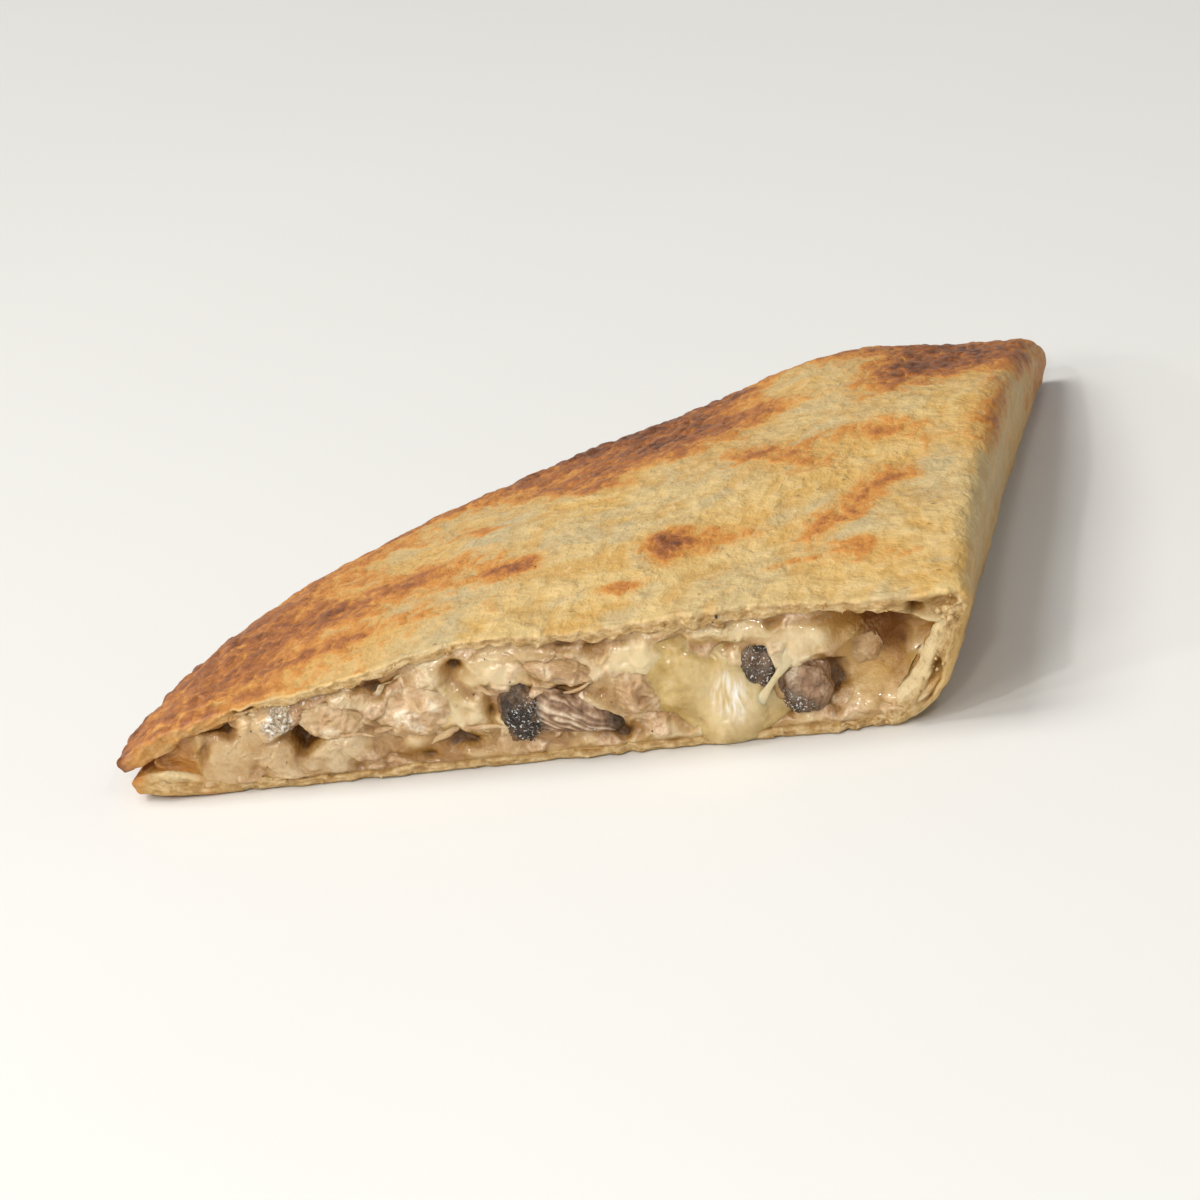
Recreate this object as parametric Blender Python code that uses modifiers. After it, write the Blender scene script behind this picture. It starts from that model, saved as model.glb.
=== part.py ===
"""Half of a toasted quesadilla.

A round flour tortilla is folded over a creamy filling of chicken, mushroom and
cheese, and the folded half round is cut in two, square to the fold. This is one
of the two halves. It is drawn from its fold corner: x runs out of the fold, y
runs back from the cut along the fold, and z runs up from the flat underside.
The finished half is then centred over the origin. Lengths are in metres.
"""

import math

import bmesh
import bpy
from mathutils import Euler, Vector, noise

MM = 0.001

# The tortilla, flat: a round of dough. The fold runs a little off its middle.
# Its slopes are measured over a small step.
TORTILLA_RADIUS = 123 * MM
WALL = 2.2 * MM
FOLD_SHIFT = 1 * MM
COLUMNS, ROWS = 56, 18
SLOPE_STEP = 0.3 * MM
CROWDING = 0.5

# The bend: a wide corner below, a wall, and a tighter corner above. The radii
# are shares of its height. Near the cut the wall leans outwards.
BEND_REACH = 10.5 * MM
BEND_HALF = 15.3 * MM
LOW_CORNER, HIGH_CORNER = 0.42, 0.20
LEAST_CORNER = WALL + 0.9 * MM
LEAN, LEAN_LENGTH = 8 * MM, 42 * MM
LEAN_REACH = 2 * BEND_REACH

# The upper layer climbs from the rim to the level middle over the filling.
# Round the rim, at angles in degrees from the cut, it dips and puffs up.
MIDDLE_HEIGHT = 19.3 * MM
RIM_HEIGHT = 6.0 * MM
CLIMB_LENGTH = 53 * MM
CLIMB_SHARPNESS = 8
DROOP, DROOP_WIDTH = 2.3 * MM, 10 * MM
PUFF = (73, 8.5, 4.2 * MM)
DIP = (42, 17, -1.1 * MM)
WAVE_HEIGHT = 0.5 * MM
WAVE_LENGTH = 37 * MM
WAVE_PHASE = 0.3
ALONG_STRETCH = 1.3

# The lower layer lies flat and curls up at the rim, close under the upper one.
CURL_WIDTH = 14 * MM
CURL_ENDS = (78, 88)
SEAM_GAP = 0.5 * MM

# The filling stops short of the rim and of the bend. Near the bend its cut
# face lies deeper, under the upper layer. Its relief fades towards the back.
FILLING_REACH = 109 * MM
FILLING_START = 8.5 * MM
FILLING_CELLS = (18, 10, 3)
SIDE_BULGE = 0.05
FACE_RELIEF, FACE_GRAIN = 0.8 * MM, 8 * MM
FACE_FADE = 4
RECESS_DEPTH = 5 * MM
RECESS_FROM, RECESS_TO = -20 * MM, -9 * MM
RECESS_FOOT, RECESS_BROW = 2 * MM, 11 * MM
SEAT_GAP = 0.45 * MM
POCKET_GAP = 0.35 * MM

# Lumps that show in the cut face: name, centre, size, tilt in degrees, seed.
CHICKEN = (
    ("chicken_piece_1", (-86.7, 2.4, 9.2), (9.5, 9.0, 5.6), 8, 3),
    ("chicken_piece_2", (-74.6, 2.6, 9.4), (12.6, 11.0, 9.6), 14, 8),
    ("chicken_piece_3", (-53.6, 2.8, 12.9), (11.0, 8.0, 3.8), 14, 21),
    ("chicken_piece_4", (-43.4, 2.8, 8.6), (7.2, 8.0, 8.0), -8, 34),
    ("chicken_piece_5", (-14.2, 6.6, 9.2), (7.6, 8.0, 7.2), 12, 55),
)
MUSHROOM = (
    ("mushroom_piece_1", (-26.5, 1.3, 10.8), (5.0, 6.0, 6.0), 0, 5),
    ("mushroom_piece_2", (-20.9, 2.6, 7.1), (6.4, 7.6, 7.6), 20, 13),
)
SLICE_CAP = ((-60.2, 2.4, 7.7), (6.2, 8.0, 8.4), 12, 2)
STEM_START, STEM_END = (-59.0, 2.6, 7.2), (-47.6, 2.4, 5.0)
STEM_RADII = (2.7, 1.5)
STEM_DEPTH = 1.5
STEM_SIDES = 14
CHEESE_BODY = ((-36.3, 3.4, 9.4), (8.4, 9.0, 9.0), 0, 17)
CHEESE_DRIP = ((-30.7, 0.3, 5.7), (8.2, 7.4, 10.6), 0, 41)
LUMP_RELIEF, SMOOTH_RELIEF = 0.22, 0.10
LUMP_FACES = (12, 8)
LUMP_GRAIN = 1.6
SHELF_SIZE = (14.0, 12.0, 8.0)
SHELF_FRONT, SHELF_TOP = -0.4, 3.3

CREAM = (0.72, 0.56, 0.34)
TOASTED = (0.70, 0.47, 0.20)
CHEESE = (0.80, 0.66, 0.38)
MEAT = (0.62, 0.43, 0.28)
DARK_MUSHROOM = (0.17, 0.125, 0.09)


def clear_scene():
    for item in list(bpy.data.objects):
        bpy.data.objects.remove(item)


def new_collection(name):
    collection = bpy.data.collections.new(name)
    bpy.context.scene.collection.children.link(collection)
    return collection


def new_material(name, colour, roughness):
    material = bpy.data.materials.new(name)
    material.use_nodes = True
    shader = material.node_tree.nodes["Principled BSDF"]
    shader.inputs["Base Color"].default_value = (*colour, 1)
    shader.inputs["Roughness"].default_value = roughness
    shader.inputs["Metallic"].default_value = 0
    return material


def new_object(name, mesh, collection):
    """Makes a mesh object from a bmesh, shaded smooth."""
    data = bpy.data.meshes.new(name)
    mesh.to_mesh(data)
    mesh.free()
    data.shade_smooth()
    item = bpy.data.objects.new(name, data)
    collection.objects.link(item)
    return item


def finish_piece(item, material, middle):
    """Gives the piece its material and hangs it under the centring empty."""
    item.data.materials.clear()
    item.data.materials.append(material)
    item.parent = middle


def ease(value, low, high):
    """Runs smoothly from 0 at low to 1 at high."""
    share = min(max((value - low) / (high - low), 0), 1)
    return share * share * (3 - 2 * share)


def rim_distance(from_fold, along):
    """Distance in from the rim of the flat round, and the angle about its middle."""
    across = from_fold - FOLD_SHIFT
    distance = TORTILLA_RADIUS - math.hypot(across, along)
    return max(distance, 0), math.atan2(along, abs(across))


def swell(angle, middle, spread, height):
    """A rounded rise or dip along the rim, about a middle angle in degrees."""
    return height * math.exp(-(((math.degrees(angle) - middle) / spread) ** 2))


def rim_height(angle):
    """Height of the upper layer's outer face at the rim."""
    return RIM_HEIGHT + swell(angle, *PUFF) + swell(angle, *DIP)


def top_height(from_fold, along):
    """Height of the upper layer's outer face.

    It climbs steadily from the rim and levels off over the middle. The last of
    it droops to the rim, and the middle waves a little.
    """
    distance, angle = rim_distance(from_fold, along)
    climb = distance / CLIMB_LENGTH
    climb /= (1 + climb**CLIMB_SHARPNESS) ** (1 / CLIMB_SHARPNESS)
    foot = rim_height(angle) + DROOP
    droop = DROOP * max(1 - distance / DROOP_WIDTH, 0) ** 2
    across_wave = math.sin(math.tau * (from_fold / WAVE_LENGTH + WAVE_PHASE))
    along_wave = math.cos(math.tau * along / (ALONG_STRETCH * WAVE_LENGTH))
    wave = WAVE_HEIGHT * climb * across_wave * along_wave
    return foot + (MIDDLE_HEIGHT - foot) * climb - droop + wave


def bottom_height(from_fold, along):
    """Height of the lower layer's outer face: flat, with a rim that curls up.

    The curl follows the upper layer's rim, halfway up where that puffs, and
    dies out at the end of the fold.
    """
    distance, angle = rim_distance(from_fold, along)
    curl = rim_height(angle) - swell(angle, *PUFF) / 2 - 2 * WALL - SEAM_GAP
    curl *= 1 - ease(math.degrees(angle), *CURL_ENDS)
    return curl * max(1 - distance / CURL_WIDTH, 0) ** 2


def bend_point(share, height):
    """A point on the bend's outline, where share runs from -1 below to 1 above.

    The outline is a short level run, the lower corner's arc, the wall, the
    upper corner's arc, and a level run back over the filling.
    """
    least = min(LEAST_CORNER, height / 2)
    low, high = max(LOW_CORNER * height, least), max(HIGH_CORNER * height, least)
    arcs = low * math.pi / 2, high * math.pi / 2
    runs = (BEND_REACH - low, arcs[0], height - low - high, arcs[1], BEND_REACH - high)
    left = (share + 1) / 2 * sum(runs)
    if left <= runs[0]:
        return -BEND_REACH + left, 0
    left -= runs[0]
    if left <= runs[1]:
        turn = left / low
        return low * (math.sin(turn) - 1), low * (1 - math.cos(turn))
    left -= runs[1]
    if left <= runs[2]:
        return 0, low + left
    left -= runs[2]
    if left <= runs[3]:
        turn = left / high
        return high * (math.cos(turn) - 1), height + high * (math.sin(turn) - 1)
    return -high - (left - runs[3]), height


def folded(from_fold, along):
    """Where a point of the flat tortilla lies once it is folded over.

    from_fold is its distance from the fold line, negative in the lower layer,
    and along is its distance from the cut.
    """
    past_bend = abs(from_fold) - BEND_HALF
    roof = top_height(BEND_HALF, along)
    floor = bottom_height(-BEND_HALF, along)
    if past_bend > 0:
        x = -BEND_REACH - past_bend
        z = top_height(from_fold, along) if from_fold > 0 else bottom_height(from_fold, along)
    else:
        x, z = bend_point(from_fold / BEND_HALF, roof - floor)
        z += floor
    lean = LEAN * math.exp(-along / LEAN_LENGTH)
    x += lean * (z / roof - 0.5) * ease(x, -LEAN_REACH, 0)
    return Vector((x, along, z))


def inside(from_fold, along, depth):
    """The folded point, moved in from the tortilla's outer face by depth."""
    over = folded(from_fold + SLOPE_STEP, along) - folded(from_fold - SLOPE_STEP, along)
    back = folded(from_fold, along + SLOPE_STEP) - folded(from_fold, along - SLOPE_STEP)
    return folded(from_fold, along) + over.cross(back).normalized() * depth


def half_round(u, w, radius):
    """Lays a square out as half a disc: u runs across it from -1 to 1, and w
    runs back from its straight side from 0 to 1."""
    across = radius * u * math.sqrt(1 - w * w / 2)
    along = radius * w * math.sqrt(1 - u * u / 2)
    return across, along


def make_tortilla(collection):
    """One folded sheet: a grid bent to the outer face, with its wall inwards.

    The grid's columns crowd together at the bend and at the rim.
    """
    mesh = bmesh.new()
    bmesh.ops.create_grid(mesh, x_segments=COLUMNS, y_segments=ROWS, size=1)
    for vertex in mesh.verts:
        place = vertex.co.x
        u = place - CROWDING * math.sin(math.tau * place) / math.tau
        across, along = half_round(u, (vertex.co.y + 1) / 2, TORTILLA_RADIUS)
        vertex.co = folded(across + FOLD_SHIFT, along)
    bmesh.ops.reverse_faces(mesh, faces=mesh.faces)
    sheet = new_object("tortilla", mesh, collection)
    wall = sheet.modifiers.new("Wall", "SOLIDIFY")
    wall.thickness = WALL
    wall.offset = -1
    wall.use_even_offset = True
    return sheet


def face_depth(x, z):
    """How far back the filling's cut face lies: lumpy, and deeper at the bend."""
    lumps = noise.noise(Vector((x, 0, z)) / FACE_GRAIN)
    recess = ease(x, RECESS_FROM, RECESS_TO) * ease(z, RECESS_FOOT, RECESS_BROW)
    return FACE_RELIEF * (1 + lumps) + RECESS_DEPTH * recess


def new_block(cells):
    """A cube from -1 to 1, cut into cells along each axis."""
    mesh = bmesh.new()
    bmesh.ops.create_cube(mesh, size=2)
    for axis, count in enumerate(cells):
        normal = Vector((axis == 0, axis == 1, axis == 2))
        for step in range(1, count):
            whole = mesh.verts[:] + mesh.edges[:] + mesh.faces[:]
            cut = normal * (2 * step / count - 1)
            bmesh.ops.bisect_plane(mesh, geom=whole, plane_co=cut, plane_no=normal)
    return mesh


def make_filling(collection):
    """A block laid out as a quarter disc between the two layers."""
    mesh = new_block(FILLING_CELLS)
    for vertex in mesh.verts:
        right, back, up = vertex.co
        w = (back + 1) / 2
        reach = FILLING_REACH * (1 - SIDE_BULGE * up * up)
        across, along = half_round((right + 1) / 2, w, reach - FILLING_START)
        from_fold = FILLING_START + across
        x = BEND_HALF - BEND_REACH - from_fold
        along += face_depth(x, MIDDLE_HEIGHT * (up + 1) / 2) * (1 - w) ** FACE_FADE
        low = inside(-from_fold, along, WALL + SEAT_GAP)
        high = inside(from_fold, along, WALL + SEAT_GAP)
        vertex.co = low.lerp(high, (up + 1) / 2)
    bmesh.ops.recalc_face_normals(mesh, faces=mesh.faces)
    return new_object("creamy_filling", mesh, collection)


def make_lump(name, centre, size, tilt, seed, relief, collection):
    """An uneven rounded lump, placed by its centre in millimetres."""
    mesh = bmesh.new()
    segments, rings = LUMP_FACES
    bmesh.ops.create_uvsphere(mesh, u_segments=segments, v_segments=rings, radius=1)
    half = Vector(size) / 2 * MM
    for vertex in mesh.verts:
        way = vertex.co.normalized()
        swell = 1 + relief * noise.noise(LUMP_GRAIN * way + Vector((seed, 0, 0)))
        vertex.co = swell * way * half
    lump = new_object(name, mesh, collection)
    lump.location = Vector(centre) * MM
    lump.rotation_euler = Euler((0, math.radians(tilt), 0))
    return lump


def make_stem(name, collection):
    """A tapering stem from the cap down towards the lower layer, flattened."""
    start, end = Vector(STEM_START) * MM, Vector(STEM_END) * MM
    mesh = bmesh.new()
    bmesh.ops.create_cone(
        mesh,
        cap_ends=True,
        segments=STEM_SIDES,
        radius1=STEM_RADII[0] * MM,
        radius2=STEM_RADII[1] * MM,
        depth=(end - start).length,
    )
    bmesh.ops.scale(mesh, vec=(1, STEM_DEPTH, 1), verts=mesh.verts)
    stem = new_object(name, mesh, collection)
    stem.location = (start + end) / 2
    stem.rotation_euler = (end - start).to_track_quat("Z", "Y").to_euler()
    return stem


def add_boolean(item, other, operation, solver="EXACT"):
    """Joins or cuts the item with another object, which becomes a hidden guide."""
    change = item.modifiers.new(other.name, "BOOLEAN")
    change.operation = operation
    change.object = other
    change.solver = solver
    other.hide_render = True
    other.display_type = "WIRE"


def pocket_cutter(piece, cutters, middle):
    """A hidden copy of a piece, a small gap larger, that cuts out its seat."""
    cutter = piece.copy()
    cutter.data = piece.data.copy()
    cutter.name = piece.name + "_pocket"
    cutter.parent = middle
    cutters.objects.link(cutter)
    grow = cutter.modifiers.new("Gap", "DISPLACE")
    grow.mid_level = 0
    grow.strength = POCKET_GAP
    return cutter


def make_shelf(cutters):
    """The room taken by the lower layer's cut edge, which the drip hangs over."""
    mesh = bmesh.new()
    bmesh.ops.create_cube(mesh, size=1)
    bmesh.ops.scale(mesh, vec=Vector(SHELF_SIZE) * MM, verts=mesh.verts)
    shelf = new_object("drip_shelf", mesh, cutters)
    x = CHEESE_DRIP[0][0]
    y = SHELF_FRONT + SHELF_SIZE[1] / 2
    shelf.location = Vector((x, y, SHELF_TOP - SHELF_SIZE[2] / 2)) * MM
    return shelf


def centre_over_origin(middle, items):
    """Moves the centring empty so that the whole stands over the origin."""
    bpy.context.view_layer.update()
    graph = bpy.context.evaluated_depsgraph_get()
    corners = []
    for item in items:
        shape = item.evaluated_get(graph)
        corners += [shape.matrix_world @ vertex.co for vertex in shape.data.vertices]
    spans = [(min(values), max(values)) for values in zip(*corners)]
    middle.location = (-sum(spans[0]) / 2, -sum(spans[1]) / 2, -spans[2][0])


def main():
    clear_scene()
    parts = new_collection("quesadilla_half")
    cutters = new_collection("cutters")
    middle = bpy.data.objects.new("middle", None)
    parts.objects.link(middle)

    dough = new_material("toasted_tortilla", TOASTED, 0.7)
    cream = new_material("creamy_sauce", CREAM, 0.35)
    cheese_look = new_material("melted_cheese", CHEESE, 0.25)
    meat = new_material("chicken", MEAT, 0.5)
    fungus = new_material("mushroom", DARK_MUSHROOM, 0.35)

    tortilla = make_tortilla(parts)
    filling = make_filling(parts)
    cheese = make_lump("melted_cheese", *CHEESE_BODY, SMOOTH_RELIEF, parts)
    drip = make_lump("cheese_drip", *CHEESE_DRIP, SMOOTH_RELIEF, cutters)
    shelf = make_shelf(cutters)
    cap = make_lump("mushroom_slice", *SLICE_CAP, SMOOTH_RELIEF, parts)
    stem = make_stem("slice_stem", cutters)
    chicken = [make_lump(*row, LUMP_RELIEF, parts) for row in CHICKEN]
    mushrooms = [make_lump(*row, SMOOTH_RELIEF, parts) for row in MUSHROOM]

    lumps = [cheese, drip, cap, stem, *chicken, *mushrooms]
    pockets = {lump.name: pocket_cutter(lump, cutters, middle) for lump in lumps}
    add_boolean(cap, stem, "UNION")
    add_boolean(cheese, drip, "UNION")
    add_boolean(cheese, shelf, "DIFFERENCE")
    add_boolean(cheese, pockets["mushroom_piece_1"], "DIFFERENCE")
    add_boolean(chicken[2], pockets["mushroom_slice"], "DIFFERENCE")
    add_boolean(chicken[3], pockets["melted_cheese"], "DIFFERENCE")
    # The pockets overlap one another, which the exact solver can't cut in turn.
    for cutter in pockets.values():
        add_boolean(filling, cutter, "DIFFERENCE", "MANIFOLD")
    for guide in (drip, shelf, stem):
        guide.parent = middle

    looks = [(tortilla, dough), (filling, cream), (cheese, cheese_look), (cap, fungus)]
    looks += [(piece, meat) for piece in chicken]
    looks += [(piece, fungus) for piece in mushrooms]
    for piece, material in looks:
        finish_piece(piece, material, middle)
    centre_over_origin(middle, [piece for piece, material in looks])


main()
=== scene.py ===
"""Looks for half of a toasted quesadilla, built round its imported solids.

Shapes are worked out in millimetres from the fold corner: x runs out of the fold, y runs back from
the cut along the fold, and z runs up from the underside. "flat" places are on the tortilla before it
is folded: the distance from the fold line, negative in the lower layer, and the distance from the cut.
"""

import itertools
import math

import bpy
import numpy as np
from mathutils import Matrix, Vector


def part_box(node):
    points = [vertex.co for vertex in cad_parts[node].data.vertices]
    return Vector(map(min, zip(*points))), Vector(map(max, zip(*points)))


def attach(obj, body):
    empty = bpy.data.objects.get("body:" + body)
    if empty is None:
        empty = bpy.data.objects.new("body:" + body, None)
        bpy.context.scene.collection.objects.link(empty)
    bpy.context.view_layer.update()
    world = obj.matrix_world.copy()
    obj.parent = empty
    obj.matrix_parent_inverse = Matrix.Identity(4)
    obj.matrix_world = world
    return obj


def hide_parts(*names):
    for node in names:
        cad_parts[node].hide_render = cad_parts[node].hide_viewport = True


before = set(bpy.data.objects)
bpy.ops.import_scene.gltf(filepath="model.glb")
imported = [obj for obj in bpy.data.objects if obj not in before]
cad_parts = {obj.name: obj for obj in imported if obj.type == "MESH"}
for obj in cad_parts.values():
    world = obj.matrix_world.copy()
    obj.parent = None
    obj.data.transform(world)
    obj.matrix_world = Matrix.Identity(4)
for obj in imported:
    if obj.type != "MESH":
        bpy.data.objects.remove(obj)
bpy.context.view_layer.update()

MM = 0.001

# The folded round, as its solid is drawn.
ROUND_RADIUS = 123
WALL = 2.2
FOLD_SHIFT = 1
BEND_REACH, BEND_HALF = 10.5, 15.3
LOW_CORNER, HIGH_CORNER = 0.42, 0.20
LEAST_CORNER = WALL + 0.9
LEAN, LEAN_LENGTH = 8, 42
MIDDLE_HEIGHT = 19.3
RIM_HEIGHT = 6.0
CLIMB_LENGTH, CLIMB_SHARPNESS = 53, 8
DROOP, DROOP_WIDTH = 2.3, 10
PUFF = (73, 8.5, 4.2)
DIP = (42, 17, -1.1)
WAVE_HEIGHT, WAVE_LENGTH = 0.5, 37
WAVE_START, ALONG_FACTOR = 0.3, 1.3
CURL_WIDTH = 14
CURL_ENDS = (78, 88)
SEAM_GAP = 0.5

# How finely the tortilla is cut up, and how its edges are rounded.
COLUMNS, ROWS = 352, 208
STRIDE = 4
EDGE_RINGS = 14
RIM_ROUND, CUT_ROUND = 0.9, 0.6
RAGGED = 0.9

# The dough at the cut: its least and usual thickness in the lower and upper layers, and where it
# is thicker: down the fold, round a torn bubble and towards the tip. Middle, spread, extra.
LEAST_DOUGH = 0.7
LOWER_DOUGH, UPPER_DOUGH = 1.1, 1.5
THICK_DOUGH = (
    (-4.0, 8.0, 4.4),
    (10.3, 3.6, 3.2),
    (118, 5.5, 1.7),
    (-117, 7, 2.5),
    (-108, 9, 0.6),
    (37, 13, 1.1),
)
DOUGH_REACH = 9
# How far the thick inner side of the fold slants back from the cut, and from what depth.
FOLD_SLANT, SLANT_FROM, SLANT_TO = 2.5, 2.4, 6.0
# Holes in the cut dough: middle, depth, half length, half width, how deep, slope along the fold.
DOUGH_HOLES = (
    (10.2, 2.4, 2.6, 1.5, 1.4, 0.0),
    (12.5, 2.2, 0.8, 1.0, 3.4, 0.0),
    (-4.6, 1.7, 3.2, 0.62, 2.8, 0.2),
    (72, 1.5, 0.9, 0.4, 1.4, 0.0),
    (104, 0.9, 1.6, 0.4, 1.6, 0.0),
)

# Browning round the rim: angle from the cut in degrees, strength, width.
RIM_TOAST = (
    (0, 0.56, 26),
    (12, 0.6, 24),
    (24, 0.56, 18),
    (34, 0.58, 12),
    (40, 0.68, 14),
    (46, 0.84, 21),
    (52, 0.94, 26),
    (58, 0.94, 26),
    (64, 0.8, 20),
    (69, 0.45, 9),
    (74, 0.56, 15),
    (82, 0.58, 25),
    (90, 0.54, 27),
)
# A darker line along the rim itself, and how the patches' outlines wander.
RIM_CHAR, CHAR_WIDTH = 0.55, 1.3
PATCH_WANDER_X, PATCH_WANDER_Y = 1.6, 2.2
# Browned patches on top: middle (x, y), half length, half width, turn in degrees, strength.
TOP_PATCHES = (
    ((-61, 70), 13, 8, 20, 0.36),
    ((-46, 82), 14, 9, 30, 0.5),
    ((-92, 22), 30, 24, 0, 0.15),
    ((-31, 56), 11, 7, -40, 0.38),
    ((-17, 92), 16, 6, 82, 0.5),
    ((-6, 100), 15, 13, 20, 0.42),
    ((0, 66), 16, 4, 85, 0.42),
    ((-16, 61), 9, 4, -28, 0.42),
    ((-13, 42), 9, 4, 62, 0.36),
    ((-18, 28), 8, 4, 60, 0.44),
    ((-13, 16), 8, 3.4, -30, 0.36),
    ((-36, 29), 8, 4.4, 4, 0.36),
    ((-41, 24), 4.2, 4.2, 0, 0.62),
    ((-65, 27), 3.6, 4.6, 60, 0.6),
    ((-46, 12), 3, 2, 0, 0.4),
    ((-58, 60), 7, 4, -30, 0.4),
    ((-76, 52), 7, 3, -40, 0.36),
    ((-85, 31), 16, 6, 12, 0.42),
    ((-22, 14), 3.5, 2, 10, 0.36),
    ((-90, 14), 14, 3, 8, 0.26),
)
# Random patches below: how many, between which corners, and between which sizes.
UNDER_PATCHES = 26
UNDER_CORNERS = (-105, 2), (-6, 112)
UNDER_SIZES = 4, 12
# Painted shade, laid on as a faint browning down the side of the fold: strength, middle, spread.
SIDE_SHADE_TOAST = 0.14, -4.0, 7.0
MOST_TOAST = 1.15
# More than any distance between neighbouring scattered points, in squares.
FAR = 9.0
# Steps in which uneven spacings are added up.
FINE_STEPS = 4001


def put(*coordinates):
    """One array of places from arrays of coordinates."""
    return np.stack(np.broadcast_arrays(*coordinates), axis=-1).astype(float)


def flat_place(first, second):
    """Places on a flat sheet: two coordinates and a nought."""
    return put(first, second, 0 * first)


def strung(*parts):
    """One row of numbers from several arrays."""
    return np.concatenate([np.ravel(part) for part in parts])


def unit(ways):
    """Directions of length 1."""
    return ways / np.maximum(np.linalg.norm(ways, axis=-1, keepdims=True), 1e-9)


def ease(value, low, high):
    """Runs smoothly from 0 at low to 1 at high: 3 s^2 - 2 s^3 of the share between them."""
    share = np.clip((value - low) / (high - low), 0, 1)
    return share * share * (3 - 2 * share)


def bell(value, middle, spread):
    """A bell curve of height 1: e to the minus square of the offset over the spread."""
    return np.exp(-(((value - middle) / spread) ** 2))


def oval_square(x, y, middle, long, wide, turn=0):
    """How far a place is from an oval's middle, squared, and 1 on its outline: the offset is
    turned and scaled by the half sizes."""
    turned = math.radians(turn)
    over, back = x - middle[0], y - middle[1]
    along = (over * math.cos(turned) + back * math.sin(turned)) / long
    aside = (back * math.cos(turned) - over * math.sin(turned)) / wide
    return along**2 + aside**2


def oval(x, y, *form):
    """A bell over an oval: e to the minus square."""
    return np.exp(-oval_square(x, y, *form))


def lot(cells, seed):
    """A repeatable number from 0 to 1 for each whole-number cell: the coordinates are multiplied
    by large primes, added and stirred twice."""
    x, y, z = np.moveaxis(cells.astype(np.int64), -1, 0)
    mix = (x * 374761393 + y * 668265263 + z * 971651431 + seed * 362437) & 0xFFFFFFFF
    mix = ((mix ^ (mix >> 13)) * 1274126177) & 0xFFFFFFFF
    mix = ((mix ^ (mix >> 16)) * 1103515245) & 0xFFFFFFFF
    return (mix ^ (mix >> 15)) / 0xFFFFFFFF


def noise(place, seed=0):
    """Smooth noise from about -1 to 1: every whole-number corner has a random slope, and the
    slopes' planes are blended across each cell with the fade 6 t^5 - 15 t^4 + 10 t^3."""
    cell = np.floor(place)
    part = place - cell
    fade = part**3 * (part * (part * 6 - 15) + 10)
    total = 0
    for corner in itertools.product((0, 1), repeat=3):
        near = cell + corner
        slope = np.stack([lot(near, seed + axis) for axis in (0, 1, 2)], -1) * 2 - 1
        weight = np.prod(np.where(corner, fade, 1 - fade), axis=-1)
        total = total + weight * np.sum(slope * (part - corner), axis=-1)
    return total * 1.5


def rough(place, octaves, seed=0):
    """Noise summed over octaves, each half the size and half the height of the last."""
    return sum(noise(place * 2**k, seed + 10 * k) / 2**k for k in range(octaves))


def puffs(place, seed=0):
    """Rounded swellings parted by narrow creases: the size of smooth noise, whatever its sign."""
    return 1.7 * np.abs(noise(place, seed)) - 0.4


def layered(place, rows):
    """Layers of relief added up, each from its height, kind, size and seed."""
    return sum(height * kind(place / size, seed) for height, kind, size, seed in rows)


def scattered(x, y, size, seed):
    """Random points, one in each square of a size. Gives, for each of the nine squares round a
    place, the square, the place's offset from its point, and its distance, both in squares."""
    place = flat_place(x / size, y / size)
    for step in itertools.product((-1, 0, 1), repeat=2):
        square = np.floor(place) + (*step, 0)
        point = square[..., :2] + np.stack([lot(square, seed), lot(square, seed + 1)], -1)
        offset = place[..., :2] - point
        yield square, offset, np.linalg.norm(offset, axis=-1)


def nearest(x, y, size, seed):
    """Distance to the nearest of scattered points, and that point's own random number."""
    best, own = np.full(x.shape, FAR), np.zeros(x.shape)
    for square, _, gap in scattered(x, y, size, seed):
        own = np.where(gap < best, lot(square, seed + 2), own)
        best = np.minimum(best, gap)
    return best * size, own


def chunks(x, z, size, seed):
    """Uneven cells about a size apart. Gives each place's gap to its cell's border, that is the
    difference of its distances to the two nearest points, two random numbers of its own cell, and
    its height on a plane through the cell's point that is tilted a random way."""
    best, second = np.full(x.shape, FAR), np.full(x.shape, FAR)
    own, other, tilted = np.zeros(x.shape), np.zeros(x.shape), np.zeros(x.shape)
    for square, offset, gap in scattered(x, z, size, seed):
        way = lot(square, seed + 4) * math.tau
        plane = offset[..., 0] * np.cos(way) + offset[..., 1] * np.sin(way)
        nearer = gap < best
        second = np.where(nearer, best, np.minimum(second, gap))
        own = np.where(nearer, lot(square, seed + 2), own)
        other = np.where(nearer, lot(square, seed + 3), other)
        tilted = np.where(nearer, plane, tilted)
        best = np.minimum(best, gap)
    return (second - best) * size, own, other, tilted * size


def stirred(x, z, size, reach, seed):
    """Places pushed about by noise of a size, by about a reach, so that shapes on them are
    uneven."""
    flat = flat_place(x, z) / size
    return x + reach * noise(flat, seed), z + reach * noise(flat, seed + 5)


def uneven(low, high, spacing, cells):
    """Places from low to high whose gaps are in proportion to spacing(place)."""
    fine = np.linspace(low, high, FINE_STEPS)
    crowd = np.cumsum(1 / spacing(fine))
    crowd = (crowd - crowd[0]) / (crowd[-1] - crowd[0])
    return np.interp(np.linspace(0, 1, cells + 1), crowd, fine)


# ---- The folded round ----


def rim_place(from_fold, along):
    """Distance in from the rim of the flat round, and the angle about its middle in degrees."""
    across = from_fold - FOLD_SHIFT
    distance = ROUND_RADIUS - np.hypot(across, along)
    return np.maximum(distance, 0), np.degrees(np.arctan2(along, np.abs(across)))


def rim_height(angle):
    """Height of the upper layer's outer face at the rim, with one puff and one dip."""
    swells = sum(size * bell(angle, middle, spread) for middle, spread, size in (PUFF, DIP))
    return RIM_HEIGHT + swells


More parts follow.
